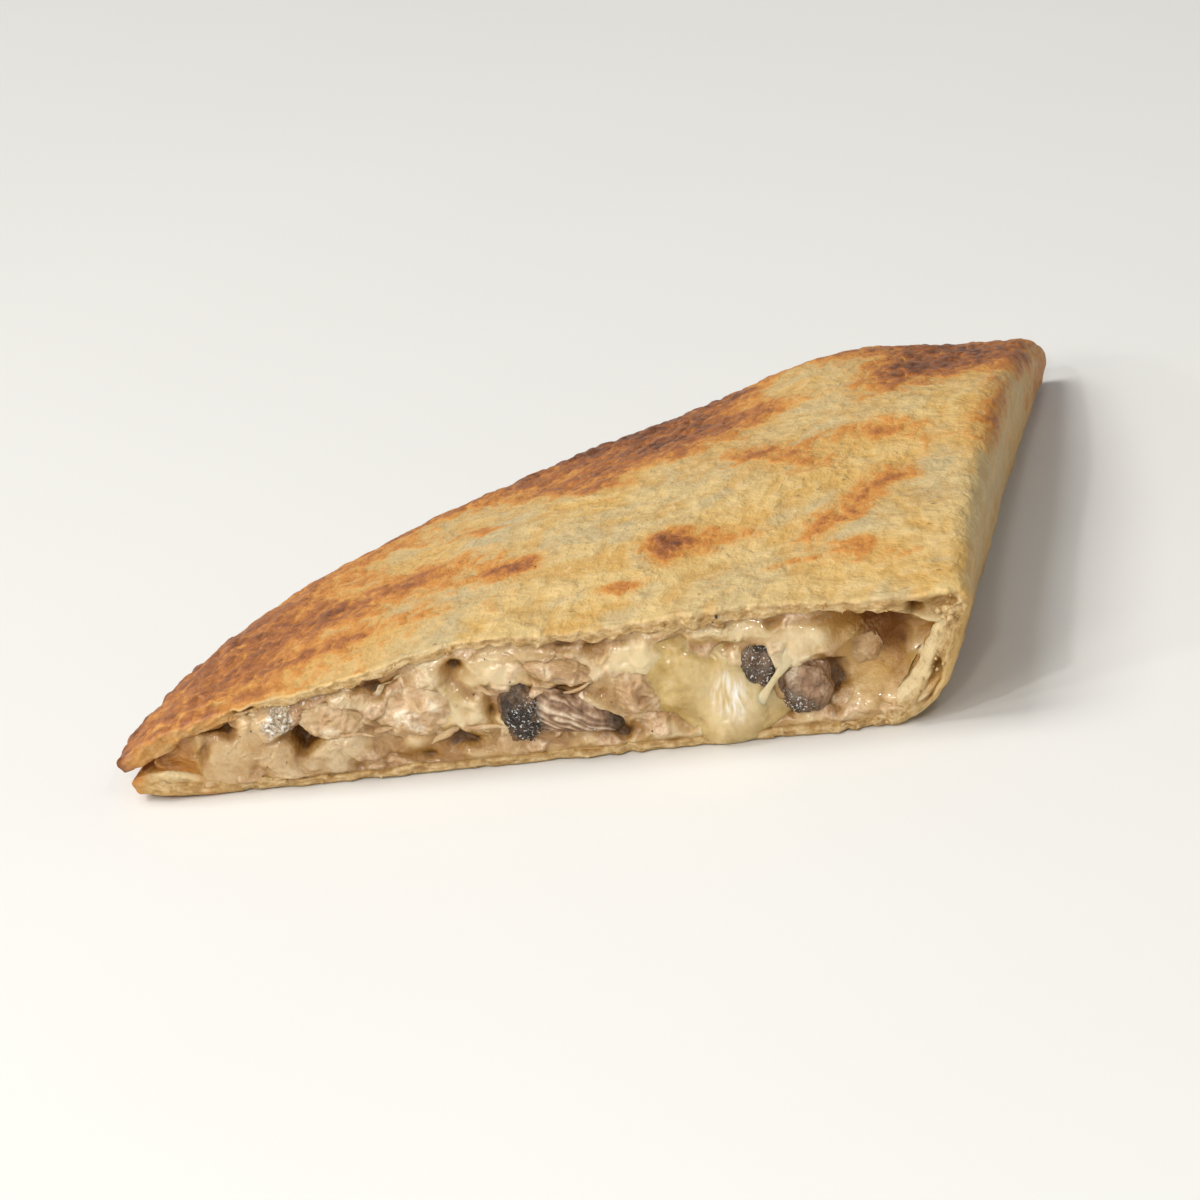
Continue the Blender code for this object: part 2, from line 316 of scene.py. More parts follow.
def top_height(from_fold, along):
    """Height of the upper layer: a steady climb c from the rim, levelled off by
    c / (1 + c^8)^(1/8), less a droop at the rim, plus a wave."""
    distance, angle = rim_place(from_fold, along)
    climb = distance / CLIMB_LENGTH
    climb = climb / (1 + climb**CLIMB_SHARPNESS) ** (1 / CLIMB_SHARPNESS)
    foot = rim_height(angle) + DROOP
    droop = DROOP * np.maximum(1 - distance / DROOP_WIDTH, 0) ** 2
    across_wave = np.sin(math.tau * (from_fold / WAVE_LENGTH + WAVE_START))
    along_wave = np.cos(math.tau * along / (ALONG_FACTOR * WAVE_LENGTH))
    wave = WAVE_HEIGHT * climb * across_wave * along_wave
    return foot + (MIDDLE_HEIGHT - foot) * climb - droop + wave


def bottom_height(from_fold, along):
    """Height of the lower layer: flat, curling up as a parabola close under the upper rim."""
    distance, angle = rim_place(from_fold, along)
    middle, spread, size = PUFF
    half_puff = size * bell(angle, middle, spread) / 2
    curl = rim_height(angle) - half_puff - 2 * WALL - SEAM_GAP
    curl = curl * (1 - ease(angle, *CURL_ENDS))
    return curl * np.maximum(1 - distance / CURL_WIDTH, 0) ** 2


def bend_point(share, height):
    """A place on the bend's outline as share runs from -1 to 1: a level run, the lower quarter
    circle, the wall, the upper quarter circle, and a level run back."""
    least = np.minimum(LEAST_CORNER, height / 2)
    low = np.maximum(LOW_CORNER * height, least)
    high = np.maximum(HIGH_CORNER * height, least)
    quarter = math.pi / 2
    runs = [BEND_REACH - low, low * quarter, height - low - high, high * quarter]
    ends = np.cumsum(runs, axis=0)
    left = (share + 1) / 2 * (ends[3] + BEND_REACH - high)
    low_turn, high_turn = (left - ends[0]) / low, (left - ends[2]) / high
    low_x, low_z = low * (np.sin(low_turn) - 1), low * (1 - np.cos(low_turn))
    high_x, high_z = high * (np.cos(high_turn) - 1), height + high * (np.sin(high_turn) - 1)
    stretches = [left <= end for end in ends]
    x = np.select(stretches, [left - BEND_REACH, low_x, 0 * left, high_x], -high - (left - ends[3]))
    z = np.select(stretches, [0 * left, low_z, low + left - ends[1], high_z], height)
    return x, z


def folded(from_fold, along):
    """Where flat places lie once the round is folded: level layers past the bend, the bend's
    outline within it, and near the cut a lean that falls off along the fold."""
    past_bend = np.abs(from_fold) - BEND_HALF
    upper = from_fold > 0
    roof = top_height(BEND_HALF + 0 * from_fold, along)
    floor = bottom_height(-BEND_HALF + 0 * from_fold, along)
    bend_x, bend_z = bend_point(np.clip(from_fold / BEND_HALF, -1, 1), roof - floor)
    layer_z = np.where(upper, top_height(from_fold, along), bottom_height(from_fold, along))
    x = np.where(past_bend > 0, -BEND_REACH - past_bend, bend_x)
    z = np.where(past_bend > 0, layer_z, bend_z + floor)
    lean = LEAN * np.exp(-along / LEAN_LENGTH)
    x = x + lean * (z / roof - 0.5) * ease(x, -2 * BEND_REACH, 0)
    return put(x, along, z)


def inward(from_fold, along, step=0.3):
    """Direction into the food from the tortilla's outer face: the cross product of its slopes."""
    over = folded(from_fold + step, along) - folded(from_fold - step, along)
    back = folded(from_fold, along + step) - folded(from_fold, along - step)
    return unit(np.cross(over, back))


def inside(from_fold, along, depth):
    """Folded places moved in from the outer face by a depth."""
    return folded(from_fold, along) + inward(from_fold, along) * np.asarray(depth)[..., None]


def half_round(u, w, radius):
    """Lays a square out as half a disc: across is r u sqrt(1 - w^2 / 2), and back from the
    straight side is r w sqrt(1 - u^2 / 2)."""
    return radius * u * np.sqrt(1 - w * w / 2), radius * w * np.sqrt(1 - u * u / 2)


TORTILLA_LOW, TORTILLA_HIGH = (np.array(corner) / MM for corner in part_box("tortilla"))
TIP = folded(np.array(ROUND_RADIUS + FOLD_SHIFT), np.array(0.0))
FOLD_CORNER = np.array((TORTILLA_LOW[0] - TIP[0], TORTILLA_HIGH[1] - ROUND_RADIUS, TORTILLA_LOW[2]))


# ---- Meshes ----


def numbered(grid, start=0):
    """The point numbers of a two-way array of places."""
    return start + np.arange(grid[..., 0].size).reshape(grid.shape[:2])


def even_grid(columns, rows):
    """Shares from 0 to 1 across and up a two-way array."""
    return np.meshgrid(np.linspace(0, 1, columns + 1), np.linspace(0, 1, rows + 1), indexing="ij")


def grid_faces(index):
    """Four-sided faces between the neighbours in a two-way array of point numbers."""
    corners = index[:-1, :-1], index[:-1, 1:], index[1:, 1:], index[1:, :-1]
    return np.stack(corners, -1).reshape(-1, 4)


def grid_edge(grid):
    """What a two-way array holds, once round its edge."""
    return np.concatenate([grid[:-1, 0], grid[-1, :-1], grid[:0:-1, -1], grid[0, :0:-1]])


def closed_sheet(face, rings, back, stride):
    """Faces of a closed sheet: a fine face grid, a band of rings round its edge, and a back grid
    whose edge has one point for each stride of the last ring, joined to it by fans."""
    face_index = numbered(face)
    ring_index = numbered(rings, face_index.size)
    back_index = numbered(back, face_index.size + ring_index.size)
    band = np.vstack([grid_edge(face_index)[None], ring_index])
    band = np.hstack([band, band[:, :1]])
    last = band[-1]
    edge = grid_edge(back_index)
    edge = np.append(edge, edge[0])
    steps = np.arange(len(last) - 1)
    nearer = (steps % stride >= stride // 2).astype(int)
    fans = np.stack([last[:-1], last[1:], edge[steps // stride + nearer]], -1)
    ties = np.stack([last[stride // 2 :: stride], edge[1:], edge[:-1]], -1)
    quads = np.vstack([grid_faces(face_index), grid_faces(band), grid_faces(back_index)[:, ::-1]])
    places = np.vstack([part.reshape(-1, 3) for part in (face, rings, back)])
    return places, quads, np.vstack([fans, ties])


def new_piece(name, shape, look, replaced=(), tags=None):
    """A mesh at the origin from a shape, that is its places in millimetres from the fold corner,
    its four-sided faces and its triangles, shaded smooth, with a value for each tag and point."""
    places, quads, triangles = shape
    mesh = bpy.data.meshes.new(name)
    mesh.from_pydata((places + FOLD_CORNER) * MM, [], quads.tolist() + triangles.tolist())
    for tag, values in (tags or {}).items():
        kind = "FLOAT" if values.ndim == 1 else "FLOAT_VECTOR"
        attribute = mesh.attributes.new(tag, kind, "POINT")
        key = "value" if values.ndim == 1 else "vector"
        attribute.data.foreach_set(key, values.astype(np.float32).ravel())
    mesh.shade_smooth()
    mesh.materials.append(look)
    piece = add_to_scene(name, mesh)
    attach(piece, "root")
    if replaced:
        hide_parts(*replaced)


def closed_rings(middle, first, last):
    """A closed shape over rings of points, with one more point at each end and fans to it."""
    index = numbered(middle)
    start, end = 0 * index[0] + index.size, 0 * index[0] + index.size + 1
    index = np.hstack([index, index[:, :1]])
    start_fan = np.stack([start, index[0, :-1], index[0, 1:]], -1)
    end_fan = np.stack([end, index[-1, 1:], index[-1, :-1]], -1)
    places = np.vstack([middle.reshape(-1, 3), first, last])
    return places, grid_faces(index)[:, ::-1], np.vstack([start_fan, end_fan])


def ball(spokes, rings):
    """Directions over a ball with a point at each pole, and its faces: the angle down from the
    upper pole runs over the rings, and the angle about it over the spokes."""
    down = np.linspace(0, math.pi, rings + 1)[1:-1, None]
    about = np.arange(spokes)[None] * math.tau / spokes
    middle = put(np.sin(down) * np.cos(about), np.sin(down) * np.sin(about), np.cos(down))
    return closed_rings(middle, (0, 0, 1), (0, 0, -1))


def many(copies, quads, triangles):
    """Joins copies of a shape: the places are already set out, one row to a copy, and the faces
    are numbered on for each."""
    count, size = copies.shape[:2]
    shift = (np.arange(count) * size)[:, None, None]
    quads, triangles = (quads + shift).reshape(-1, 4), (triangles + shift).reshape(-1, 3)
    return copies.reshape(-1, 3), quads, triangles


# ---- The tortilla ----


# Layers of relief: height, kind, size each way, seed.
WRINKLES = (
    (0.1, noise, (3.4, 7.0, 1), 7),
    (0.06, noise, (1.8, 3.6, 1), 8),
    (0.03, noise, 1.1, 14),
)
RAGGED_LAYERS = ((0.7, noise, 11, 41), (-0.8, puffs, 3.4, 42), (0.5, noise, 1.2, 43))
DOUGH_LAYERS = ((0.8, noise, 6.5, 51), (0.75, puffs, 3.1, 52), (0.4, noise, 1.3, 53))
# Blisters: how far apart, seed, most height, least radius, how much wider the highest one is.
BLISTERS = ((8.5, 21, 0.3, 1.6, 2.6), (4.1, 28, 0.16, 1.5, 0.0))
# Pits in the skin, bubbles where it is browned, and how far back from the cut it is frayed.
PIT_DEPTH, PIT_RADIUS = 0.25, 0.42
BUBBLE_HEIGHT, BUBBLE_RADIUS = 0.34, 1.3
FRAY_REACH = 1.8
# How much of the relief the underside keeps, and how far it is pressed in.
UNDER_RELIEF, PRESSED = 0.35, 0.12


def toast_and_side_shade_at(from_fold, along):
    """How browned the skin is, from 0 to about 1: a rim band whose strength and width follow the
    angle, the named patches on top, random ones below, and painted shade down the fold's side."""
    distance, angle = rim_place(from_fold, along)
    flat = flat_place(from_fold, along)
    angles, strengths, widths = np.array(RIM_TOAST).T
    width = np.interp(angle, angles, widths) * (1 + 0.35 * noise(flat / 9, 70))
    band = np.interp(angle, angles, strengths) * bell(distance, 0, width)
    band = band + RIM_CHAR * (0.6 + 0.8 * noise(flat / 4, 73)) * np.exp(-distance / CHAR_WIDTH)
    x, y, _ = np.moveaxis(folded(from_fold, along), -1, 0)
    x = x + PATCH_WANDER_X * noise(flat / 5, 71)
    y = y + PATCH_WANDER_Y * noise(flat / 5, 72)
    top = sum(strength * oval(x, y, *form) for *form, strength in TOP_PATCHES)
    draw = np.random.default_rng(11)
    under = 0
    for _ in range(UNDER_PATCHES):
        middle = draw.uniform(*UNDER_CORNERS)
        size = draw.uniform(*UNDER_SIZES)
        strength = draw.uniform(0.3, 0.7)
        under = under + strength * oval(x, y, middle, size, size * 0.6, draw.uniform(0, 180))
    top_share = ease(from_fold, 2, 7)
    under_share = 1 - ease(from_fold, -9, -4)
    # Painted shade down the side of the fold, added to the browning.
    side_shade_strength, *side = SIDE_SHADE_TOAST
    toast = band * (0.45 + 0.55 * top_share) + top * top_share + under * under_share
    return np.clip(toast + side_shade_strength * bell(from_fold, *side), 0, MOST_TOAST)


def skin_relief(from_fold, along, toast):
    """How far the skin stands out: slow swells, blisters with raised domes, fine wrinkles, pebbles
    and pits, bubbles where it is browned, and a frayed edge along the cut."""
    flat = flat_place(from_fold, along)
    bent = flat + 1.4 * flat_place(noise(flat / 5, 5), noise(flat / 5, 6))
    relief = 0.16 * noise(flat / (15, 13, 1), 3) + layered(bent, WRINKLES)
    for apart, seed, height, radius, wider in BLISTERS:
        gap, own = nearest(from_fold, along, apart, seed)
        dome = np.maximum(1 - (gap / (radius + wider * own)) ** 2, 0)
        relief = relief + height * own * dome**1.5
    gap, own = nearest(from_fold, along, size=3.1, seed=33)
    pits = PIT_DEPTH * own * bell(gap, 0, PIT_RADIUS)
    gap, own = nearest(bent[..., 0], 0.7 * bent[..., 1], size=1.9, seed=12)
    bubbles = BUBBLE_HEIGHT * toast * (0.4 + own) * (1 - (gap / BUBBLE_RADIUS) ** 2)
    frayed = 0.13 * puffs(bent / 1.2, 15) * np.exp(-np.maximum(along, 0) / FRAY_REACH)
    knobs = 0.22 * puffs(bent / 1.7, 16) * bell(from_fold, -3.5, 8.0) * bell(along, 6, 40)
    return relief - pits + bubbles + frayed + knobs


def skin(from_fold, along, toast):
    """The tortilla's outer face, with its relief. The underside is pressed flat by its weight."""
    relief = skin_relief(from_fold, along, toast)
    upper = ease(from_fold, -14, -6)
    relief = relief * (UNDER_RELIEF + (1 - UNDER_RELIEF) * upper) - PRESSED * (1 - upper)
    place = inside(from_fold, along, -relief)
    place[..., 2] = np.maximum(place[..., 2], 0)
    return place


def ragged_cut(from_fold):
    """How far the cut wanders from straight."""
    return RAGGED * layered(flat_place(from_fold, 0 * from_fold), RAGGED_LAYERS)


def dough_at(from_fold, along):
    """Thickness of the tortilla: uneven at the cut, and thicker at the fold and round a bubble."""
    usual = LOWER_DOUGH + (UPPER_DOUGH - LOWER_DOUGH) * ease(from_fold, -10, 10)
    extra = sum(size * bell(from_fold, middle, spread) for middle, spread, size in THICK_DOUGH)
    wander = layered(flat_place(from_fold, along), DOUGH_LAYERS)
    wander = wander * (0.5 + 0.5 * ease(from_fold, 5, 15))
    at_cut = np.maximum(usual + extra + wander, LEAST_DOUGH)
    return WALL + (at_cut - WALL) * np.exp(-np.maximum(along, 0) / DOUGH_REACH)


RING_SHARES = (np.arange(1, EDGE_RINGS + 1) / EDGE_RINGS)[:, None]
# How far in the way out of the edge is measured from, where the inner side of the fold is, as a
# middle and a spread, and how deep a hole is where its painted shade is darkest.
EDGE_STEP = 0.4
BY_FOLD = -4.0, 8.0
HOLE_DARKEST = 2.6
# The roughness of the crumb, how much less it is by the fold and more by the tip, and how strong
# its leaves are.
CRUMB_ROUGH, FOLD_SMOOTHER, TIP_ROUGHER = 0.28, 0.16, 0.3
LEAF_STRENGTH = 0.12


def edge_band(from_fold, along, cut_share, outward_flat, toast):
    """Rings round the sheet's edge, from its outer face to its inner one. Each point is the edge
    point, moved in by its share of the thickness and out by a rounded profile. At the cut the
    profile is crumbly, with layers, pores, a slit by the fold and a torn bubble."""
    start = skin(from_fold, along, toast)
    way_in = inward(from_fold, along)
    step_fold, step_along = EDGE_STEP * outward_flat.T
    way_out = unit(folded(from_fold, along) - folded(from_fold - step_fold, along - step_along))
    depth = RING_SHARES * dough_at(from_fold, along)
    turn = np.abs(2 * RING_SHARES - 1)
    rim_bulge = RIM_ROUND * np.sqrt(np.maximum(1 - turn**2, 0))
    cut_bulge = CUT_ROUND * np.maximum(1 - turn**4, 0) ** 0.25
    spot = flat_place(from_fold + 0 * depth, depth)
    by_fold = bell(from_fold, *BY_FOLD)
    by_tip = ease(np.abs(from_fold), 100, 112)
    crumb = CRUMB_ROUGH - FOLD_SMOOTHER * by_fold + TIP_ROUGHER * by_tip
    crumb = crumb * rough(spot / (1.5, 1.1, 1), 3, 61)
    leaves = LEAF_STRENGTH * noise(spot / (4.5, 0.7, 1), 62)
    bent_fold = from_fold + (0.5 - 0.3 * by_fold) * noise(spot / 1.9, 65)
    bent_depth = depth + (0.3 - 0.24 * by_fold) * noise(spot / 1.6, 66)
    holes = 0
    for middle, middle_depth, long, wide, deep, slope in DOUGH_HOLES:
        over = bent_fold - middle
        off = (over / long) ** 4 + ((bent_depth - middle_depth - slope * over) / wide) ** 4
        holes = np.maximum(holes, deep * np.exp(-off))
    middle_share = 1 - turn**6
    slant = FOLD_SLANT * by_fold * ease(depth, SLANT_FROM, SLANT_TO)
    cut = cut_bulge + (crumb + leaves) * middle_share - holes - slant
    rim = rim_bulge + (0.12 + 0.4 * by_tip) * puffs(spot / 1.4, 64) * middle_share
    bulge = cut_share * cut + (1 - cut_share) * rim
    places = start + way_in * depth[..., None] + way_out * bulge[..., None]
    places[..., 2] = np.maximum(places[..., 2], 0)
    # The holes' depths also give the painted shade that darkens them.
    return places, spot, np.clip(holes / HOLE_DARKEST, 0, 1) * cut_share


# How much narrower the inner face is across and along, and how far back from the cut it begins.
BACK_SHRINK, BACK_SHIFT = (0.992, 0.976), 1.3
# How far the rim wanders in and out, the length of its waves, and how far in they reach.
RIM_WANDER, RIM_WAVE, RIM_REACH = 0.5, 13, 5
# How far back the ragged line of the cut reaches, and the length in which the cut edge turns
# into the rim at the tip.
RAGGED_REACH, TIP_TURN = 2.5, 2.5


def column_gap(u):
    """Columns are wide apart in the lower layer and close together from the fold on."""
    return 1.55 - ease(u, -0.19, -0.15) * 1.0 - ease(u, 0.13, 0.2) * 0.02


def row_gap(w):
    """Rows are closest together at the cut."""
    return 0.34 + 0.36 * ease(w, 0.0, 0.12)


def make_tortilla(look):
    """The folded sheet in one closed skin: a fine outer face, a band round the edge, and a
    coarser inner face."""
    u = uneven(-1, 1, column_gap, COLUMNS)[:, None]
    w = uneven(0, 1, row_gap, ROWS)[None]
    across, along = half_round(u, w, ROUND_RADIUS - RIM_ROUND)
    from_fold = across + FOLD_SHIFT
    rim_wander = RIM_WANDER * noise(flat_place(from_fold, along) / RIM_WAVE, 44)
    distance, _ = rim_place(from_fold, along)
    shrink = 1 + rim_wander * np.exp(-distance / RIM_REACH) / ROUND_RADIUS
    from_fold, along = FOLD_SHIFT + (from_fold - FOLD_SHIFT) * shrink, along * shrink
    flat_along = along
    along = along + (CUT_ROUND + ragged_cut(from_fold)) * np.exp(-along / RAGGED_REACH)
    toast = toast_and_side_shade_at(from_fold, along)
    face = skin(from_fold, along, toast)

    edges = (grid_edge(values) for values in (from_fold, along, toast, flat_along))
    edge_fold, edge_along, edge_toast_and_shade, straight = edges
    radial = unit(put(edge_fold - FOLD_SHIFT, straight))
    tip_gap = ROUND_RADIUS - RIM_ROUND - np.abs(edge_fold - FOLD_SHIFT)
    on_cut = straight < 1e-6
    cut_share = on_cut * ease(tip_gap, 0, TIP_TURN)
    outward = unit(radial * (1 - cut_share[:, None]) + np.array((0, -1)) * cut_share[:, None])
    rings, spot, hollow = edge_band(edge_fold, edge_along, cut_share, outward, edge_toast_and_shade)

    back_fold = from_fold[::STRIDE, ::STRIDE] * BACK_SHRINK[0]
    back_along = BACK_SHIFT + flat_along[::STRIDE, ::STRIDE] * BACK_SHRINK[1]
    back = inside(back_fold, back_along, dough_at(back_fold, back_along))

    by_tip = ease(np.abs(edge_fold), 96, 110)
    ring_toast_and_shade = edge_toast_and_shade * (1 - (0.8 - 0.6 * by_tip) * cut_share) + 0 * hollow
    places = (
        flat_place(from_fold, along),
        put(spot[..., 0], edge_along, spot[..., 1]),
        put(back_fold, back_along, WALL),
    )
    none = 0 * back_fold
    tags = {
        "flat": np.vstack([part.reshape(-1, 3) for part in places]) * MM,
        "toast": strung(toast, ring_toast_and_shade, none),
        "crumb": strung(0 * toast, cut_share * ease(RING_SHARES, 0, 0.3), none),
        "within": strung(0 * toast, 0 * ring_toast_and_shade, 1 + none),
        "hollow": strung(0 * toast, hollow, none),
    }
    shape = closed_sheet(face, rings, back, STRIDE)
    new_piece("folded_tortilla", shape, look, ["tortilla"], tags)


# ---- The filling ----

# Centre, size, tilt in degrees and seed of each lump, as its solid is drawn.
CHICKEN = (
    ("chicken_piece_1", (-86.7, 2.4, 9.2), (9.5, 9.0, 5.6), 8, 3),
    ("chicken_piece_2", (-74.6, 2.6, 9.4), (12.6, 11.0, 9.6), 14, 8),
    ("chicken_piece_3", (-53.6, 2.8, 12.9), (11.0, 8.0, 3.8), 14, 21),
    ("chicken_piece_4", (-43.4, 2.8, 8.6), (7.2, 8.0, 8.0), -8, 34),
    ("chicken_piece_5", (-14.2, 6.6, 9.2), (7.6, 8.0, 7.2), 12, 55),
)
CHICKEN_BROWN = (0.25, 0.0, 0.7, 0.65, 0.75)
MUSHROOM = (
    ("mushroom_piece_1", (-26.5, 1.3, 10.8), (5.6, 6.0, 6.4), 0, 5),
    ("mushroom_piece_2", (-20.9, 2.6, 7.1), (7.0, 7.6, 8.0), 20, 13),
)
SLICE_CAP = ((-60.2, 2.4, 7.7), (6.4, 8.0, 8.8), 12, 2)
STEM = ((-58.6, 1.4, 7.9), (-53.5, 0.5, 6.9), (-46.4, 1.1, 4.2))
STEM_RADII = (3.3, 2.9, 1.1)
STEM_DEPTHS = (2.0, 2.0, 1.3)
GILL_HEIGHT = 0.35
# Where the stem turns pale after the cap, and where it darkens again at its end.
STEM_PALES, STEM_DARKENS = (-58.2, -56.0), (-50.0, -47.0)
# Pale places on the two loose caps and on the slice's cap: x, z, radius, share.
PALE_SPOTS = (
    ((-28.0, 12.6, 1.6, 0.45), (-25.6, 11.6, 1.2, 0.4), (-26.6, 9.4, 1.2, 0.4)),
    ((-20.4, 9.4, 3.2, 1.0), (-18.6, 6.2, 2.6, 0.8), (-24.2, 8.4, 1.6, 0.4)),
    ((-58.0, 10.2, 1.2, 0.8), (-60.8, 11.0, 1.6, 0.25), (-63.6, 7.8, 1.0, 0.6), (-62.6, 4.4, 1.0, 0.5)),
)
# Where they are painted with white specks that stand in for wet glints: x, z, radius, share.
GLINT_SPOTS = (
    ((-27.0, 12.0, 2.4, 0.9), (-26.4, 9.6, 1.6, 0.7)),
    ((-23.4, 5.2, 1.8, 0.9), (-21.0, 4.4, 1.2, 0.6), (-24.4, 9.8, 0.8, 0.5)),
    ((-59.9, 6.6, 2.1, 1.0), (-58.9, 4.2, 1.7, 0.9), (-58.3, 9.6, 1.0, 0.5), (-50.6, 4.4, 1.6, 0.6)),
)
CHUNK_PLANES = 6
# Domes of melted cheese: middle, half length, half width, turn in degrees, height.
CHEESE_DOMES = (
    ((-41.2, 13.2), 4.2, 2.4, -10, 0.2),
    ((-38.2, 10.0), 4.6, 3.8, 20, 0.7),
    ((-35.6, 7.4), 3.2, 3.2, 0, 0.4),
    ((-31.0, 9.6), 2.8, 3.0, 0, 0.6),
    ((-30.0, 7.2), 3.8, 3.4, 0, 1.1),
    ((-31.2, 4.6), 4.9, 3.4, 0, 1.6),
    ((-32.0, 2.4), 4.4, 2.7, 0, 1.9),
)
STRAND = (
    (-27.8, 0.3, 5.2),
    (-26.2, -0.5, 7.2),
    (-24.8, -0.6, 8.9),
    (-23.2, -0.2, 10.6),
    (-21.6, 0.6, 12.6),
)
STRAND_RADII = (1.1, 0.6, 0.42, 0.7, 1.5)
STRAND_DEPTHS = (0.5, 0.3, 0.26, 0.3, 0.5)
DRIP_TOP = (-29.6, 13.5)
# Where the cheese whitens down the drip: middle and spread across, and between which heights it
# begins and ends.
DRIP_ACROSS = -30.8, 4.0
DRIP_STARTS, DRIP_ENDS = (8.5, 12.5), (0.5, 5.5)
# Where the drip is whitest, with streaky painted highlights: middle, half width, half height, turn.
DRIP_SHEEN = ((-31.0, 7.6), 2.6, 3.6, 0)
CHEESE_REACH = ((-48, 0.05), (-23.5, 16.6))
CHEESE_CELLS = (176, 128)
CHEESE_STRIDE = 8
CHEESE_BACK = 6.0
CHEESE_BLEND = 0.42
# How far back the rings behind the sheet's edge lie, as shares of the way.
CHEESE_RINGS = (0.3, 0.7, 0.96)
CHEESE_LAYERS = ((0.22, noise, 2.4, 65), (0.12, puffs, 1.4, 67))

FILLING_REACH, FILLING_START = 118.5, 5.0
FACE_SET_BACK = 0.5
FILLING_CELLS = (640, 96)
FILLING_STRIDE = 8
FILLING_RINGS = (0.004, 0.012, 0.03, 0.07, 0.15, 0.3, 0.5, 0.75, 1.0)
SIDE_BULGE = 0.03
TUCK = 1.4
EDGE_MARGIN = 0.09
TOP_MARGIN = 0.05, 0.15
RECESS_DEPTH = 5.5
RECESS_FROM, RECESS_TO = -18, -12.5
RECESS_FOOT, RECESS_BROW = 2.5, 10
# The small golden pocket at the tip: where it ends, and its depth.
POCKET_FROM, POCKET_TO, POCKET_DEPTH = -106.0, -108.0, 1.5
# Where the sauce turns amber, and where it turns deeper, on the way to the tip.
AMBER_END = 90, 98
DEEPER_END = 76, 88
# The darkest corner of the recess, painted as amber shade: middle, half width, half height, turn.
SHADED_CORNER = ((-10.0, 12.8), 3.8, 4.6, -20)
# The paler strip of cream beside the fold: middle, half width, half height, turn.
PALE_STRIP = ((-6.4, 8.2), 1.5, 4.4, 0)
# Layers of relief in the sauce: height, kind, size each way, seed.
BROAD_LAYERS = ((1.15, noise, (7.5, 5.5, 1), 81), (0.3, puffs, 4.4, 82), (0.8, noise, 3.6, 92))
CLOT_LAYERS = ((0.3, puffs, 2.5, 86), (0.3, noise, 1.7, 91), (0.12, puffs, 1.2, 88))
# Chopped meat: the size of its cells, the share of them that is meat, and the width of the
# border that eases each in. Its height is a least one, and more by its own chance and tilt.
CHOPPED_SIZE, CHOPPED_SHARE, CHOPPED_BORDER = 3.6, 0.5, 1.1
CHOPPED_HEIGHTS = 0.3, 0.35, 0.3
# How much of its mounds and of what lies under them the sauce shows.
MOUND_COVER, MOUND_SHOWS = 0.8, 0.3
# How golden the recess and the tip's sauce are, and how much the pale strip lessens the painted
# shade of the hollows.
RECESS_GOLD, END_GOLD, STRIP_FILLS = 0.85, 0.4, 0.6
# How far the far side keeps in from the edges, as shares across and up.
FAR_MARGINS = 0.01, 0.02
# How much closer together the sauce's features are in height than across, the most it stands
# out, and the deepest that its pits are.
UPRIGHT = 1.15
MOST_RELIEF, MOST_PIT = 1.4, 3
# How far the sauce's face is set back where it meets the tortilla.
MARGIN_DEPTH = 0.4
# Pits in the cut face: x, z, half width, half height, depth.
PITS = (
    (-103.4, 10.0, 2.6, 1.7, 2.4),
    (-90.4, 7.3, 1.9, 1.6, 2.6),
    (-80.3, 13.4, 3.2, 1.4, 2.0),
    (-68.5, 15.0, 2.0, 1.2, 2.0),
    (-69.0, 4.4, 2.6, 1.5, 1.9),
    (-74.9, 2.7, 2.6, 1.0, 1.2),
    (-77.6, 5.0, 1.3, 2.6, 0.9),
    (-64.6, 8.0, 0.9, 3.6, 1.0),
    (-54.8, 11.1, 5.2, 0.6, 1.3),
    (-52.5, 16.7, 1.2, 0.8, 1.6),
    (-47.8, 16.8, 1.4, 0.8, 1.7),
    (-56.5, 17.4, 0.9, 0.6, 1.0),
    (-46.6, 3.3, 2.8, 1.0, 1.8),
    (-48.6, 9.4, 1.8, 1.1, 1.0),
    (-40.3, 6.2, 1.6, 1.6, 0.9),
    (-34.6, 14.6, 3.0, 1.2, 1.2),
    (-24.7, 4.0, 1.6, 1.5, 1.8),
    (-16.5, 8.6, 1.6, 3.0, 1.9),
    (-8.2, 10.6, 1.2, 2.9, 2.2),
    (-9.6, 15.6, 4.2, 1.9, 1.8),
    (-10.4, 3.6, 0.8, 0.6, 1.0),
    (-13.6, 2.2, 1.2, 0.6, 1.0),
    (-17.4, 3.2, 0.7, 0.6, 0.9),
)
# Spots that glisten: x, z, radius.
WET_SPOTS = (
    (-94.4, 10.0, 3.0),
    (-87.0, 5.4, 2.6),
    (-97.5, 5.4, 2.2),
    (-84.6, 11.4, 2.2),
    (-72.0, 10.8, 2.6),
    (-66.0, 5.2, 1.8),
    (-53.0, 14.9, 2.2),
    (-43.6, 8.4, 2.4),
    (-30.4, 16.2, 3.0),
    (-17.4, 5.2, 2.0),
    (-12.0, 12.4, 2.0),
)
# The cluster of small bubbles, painted with glints and dark outlines: middle, half width, half height,
# turn.
FOAM = ((-94.2, 10.0), 2.6, 2.0, 20)
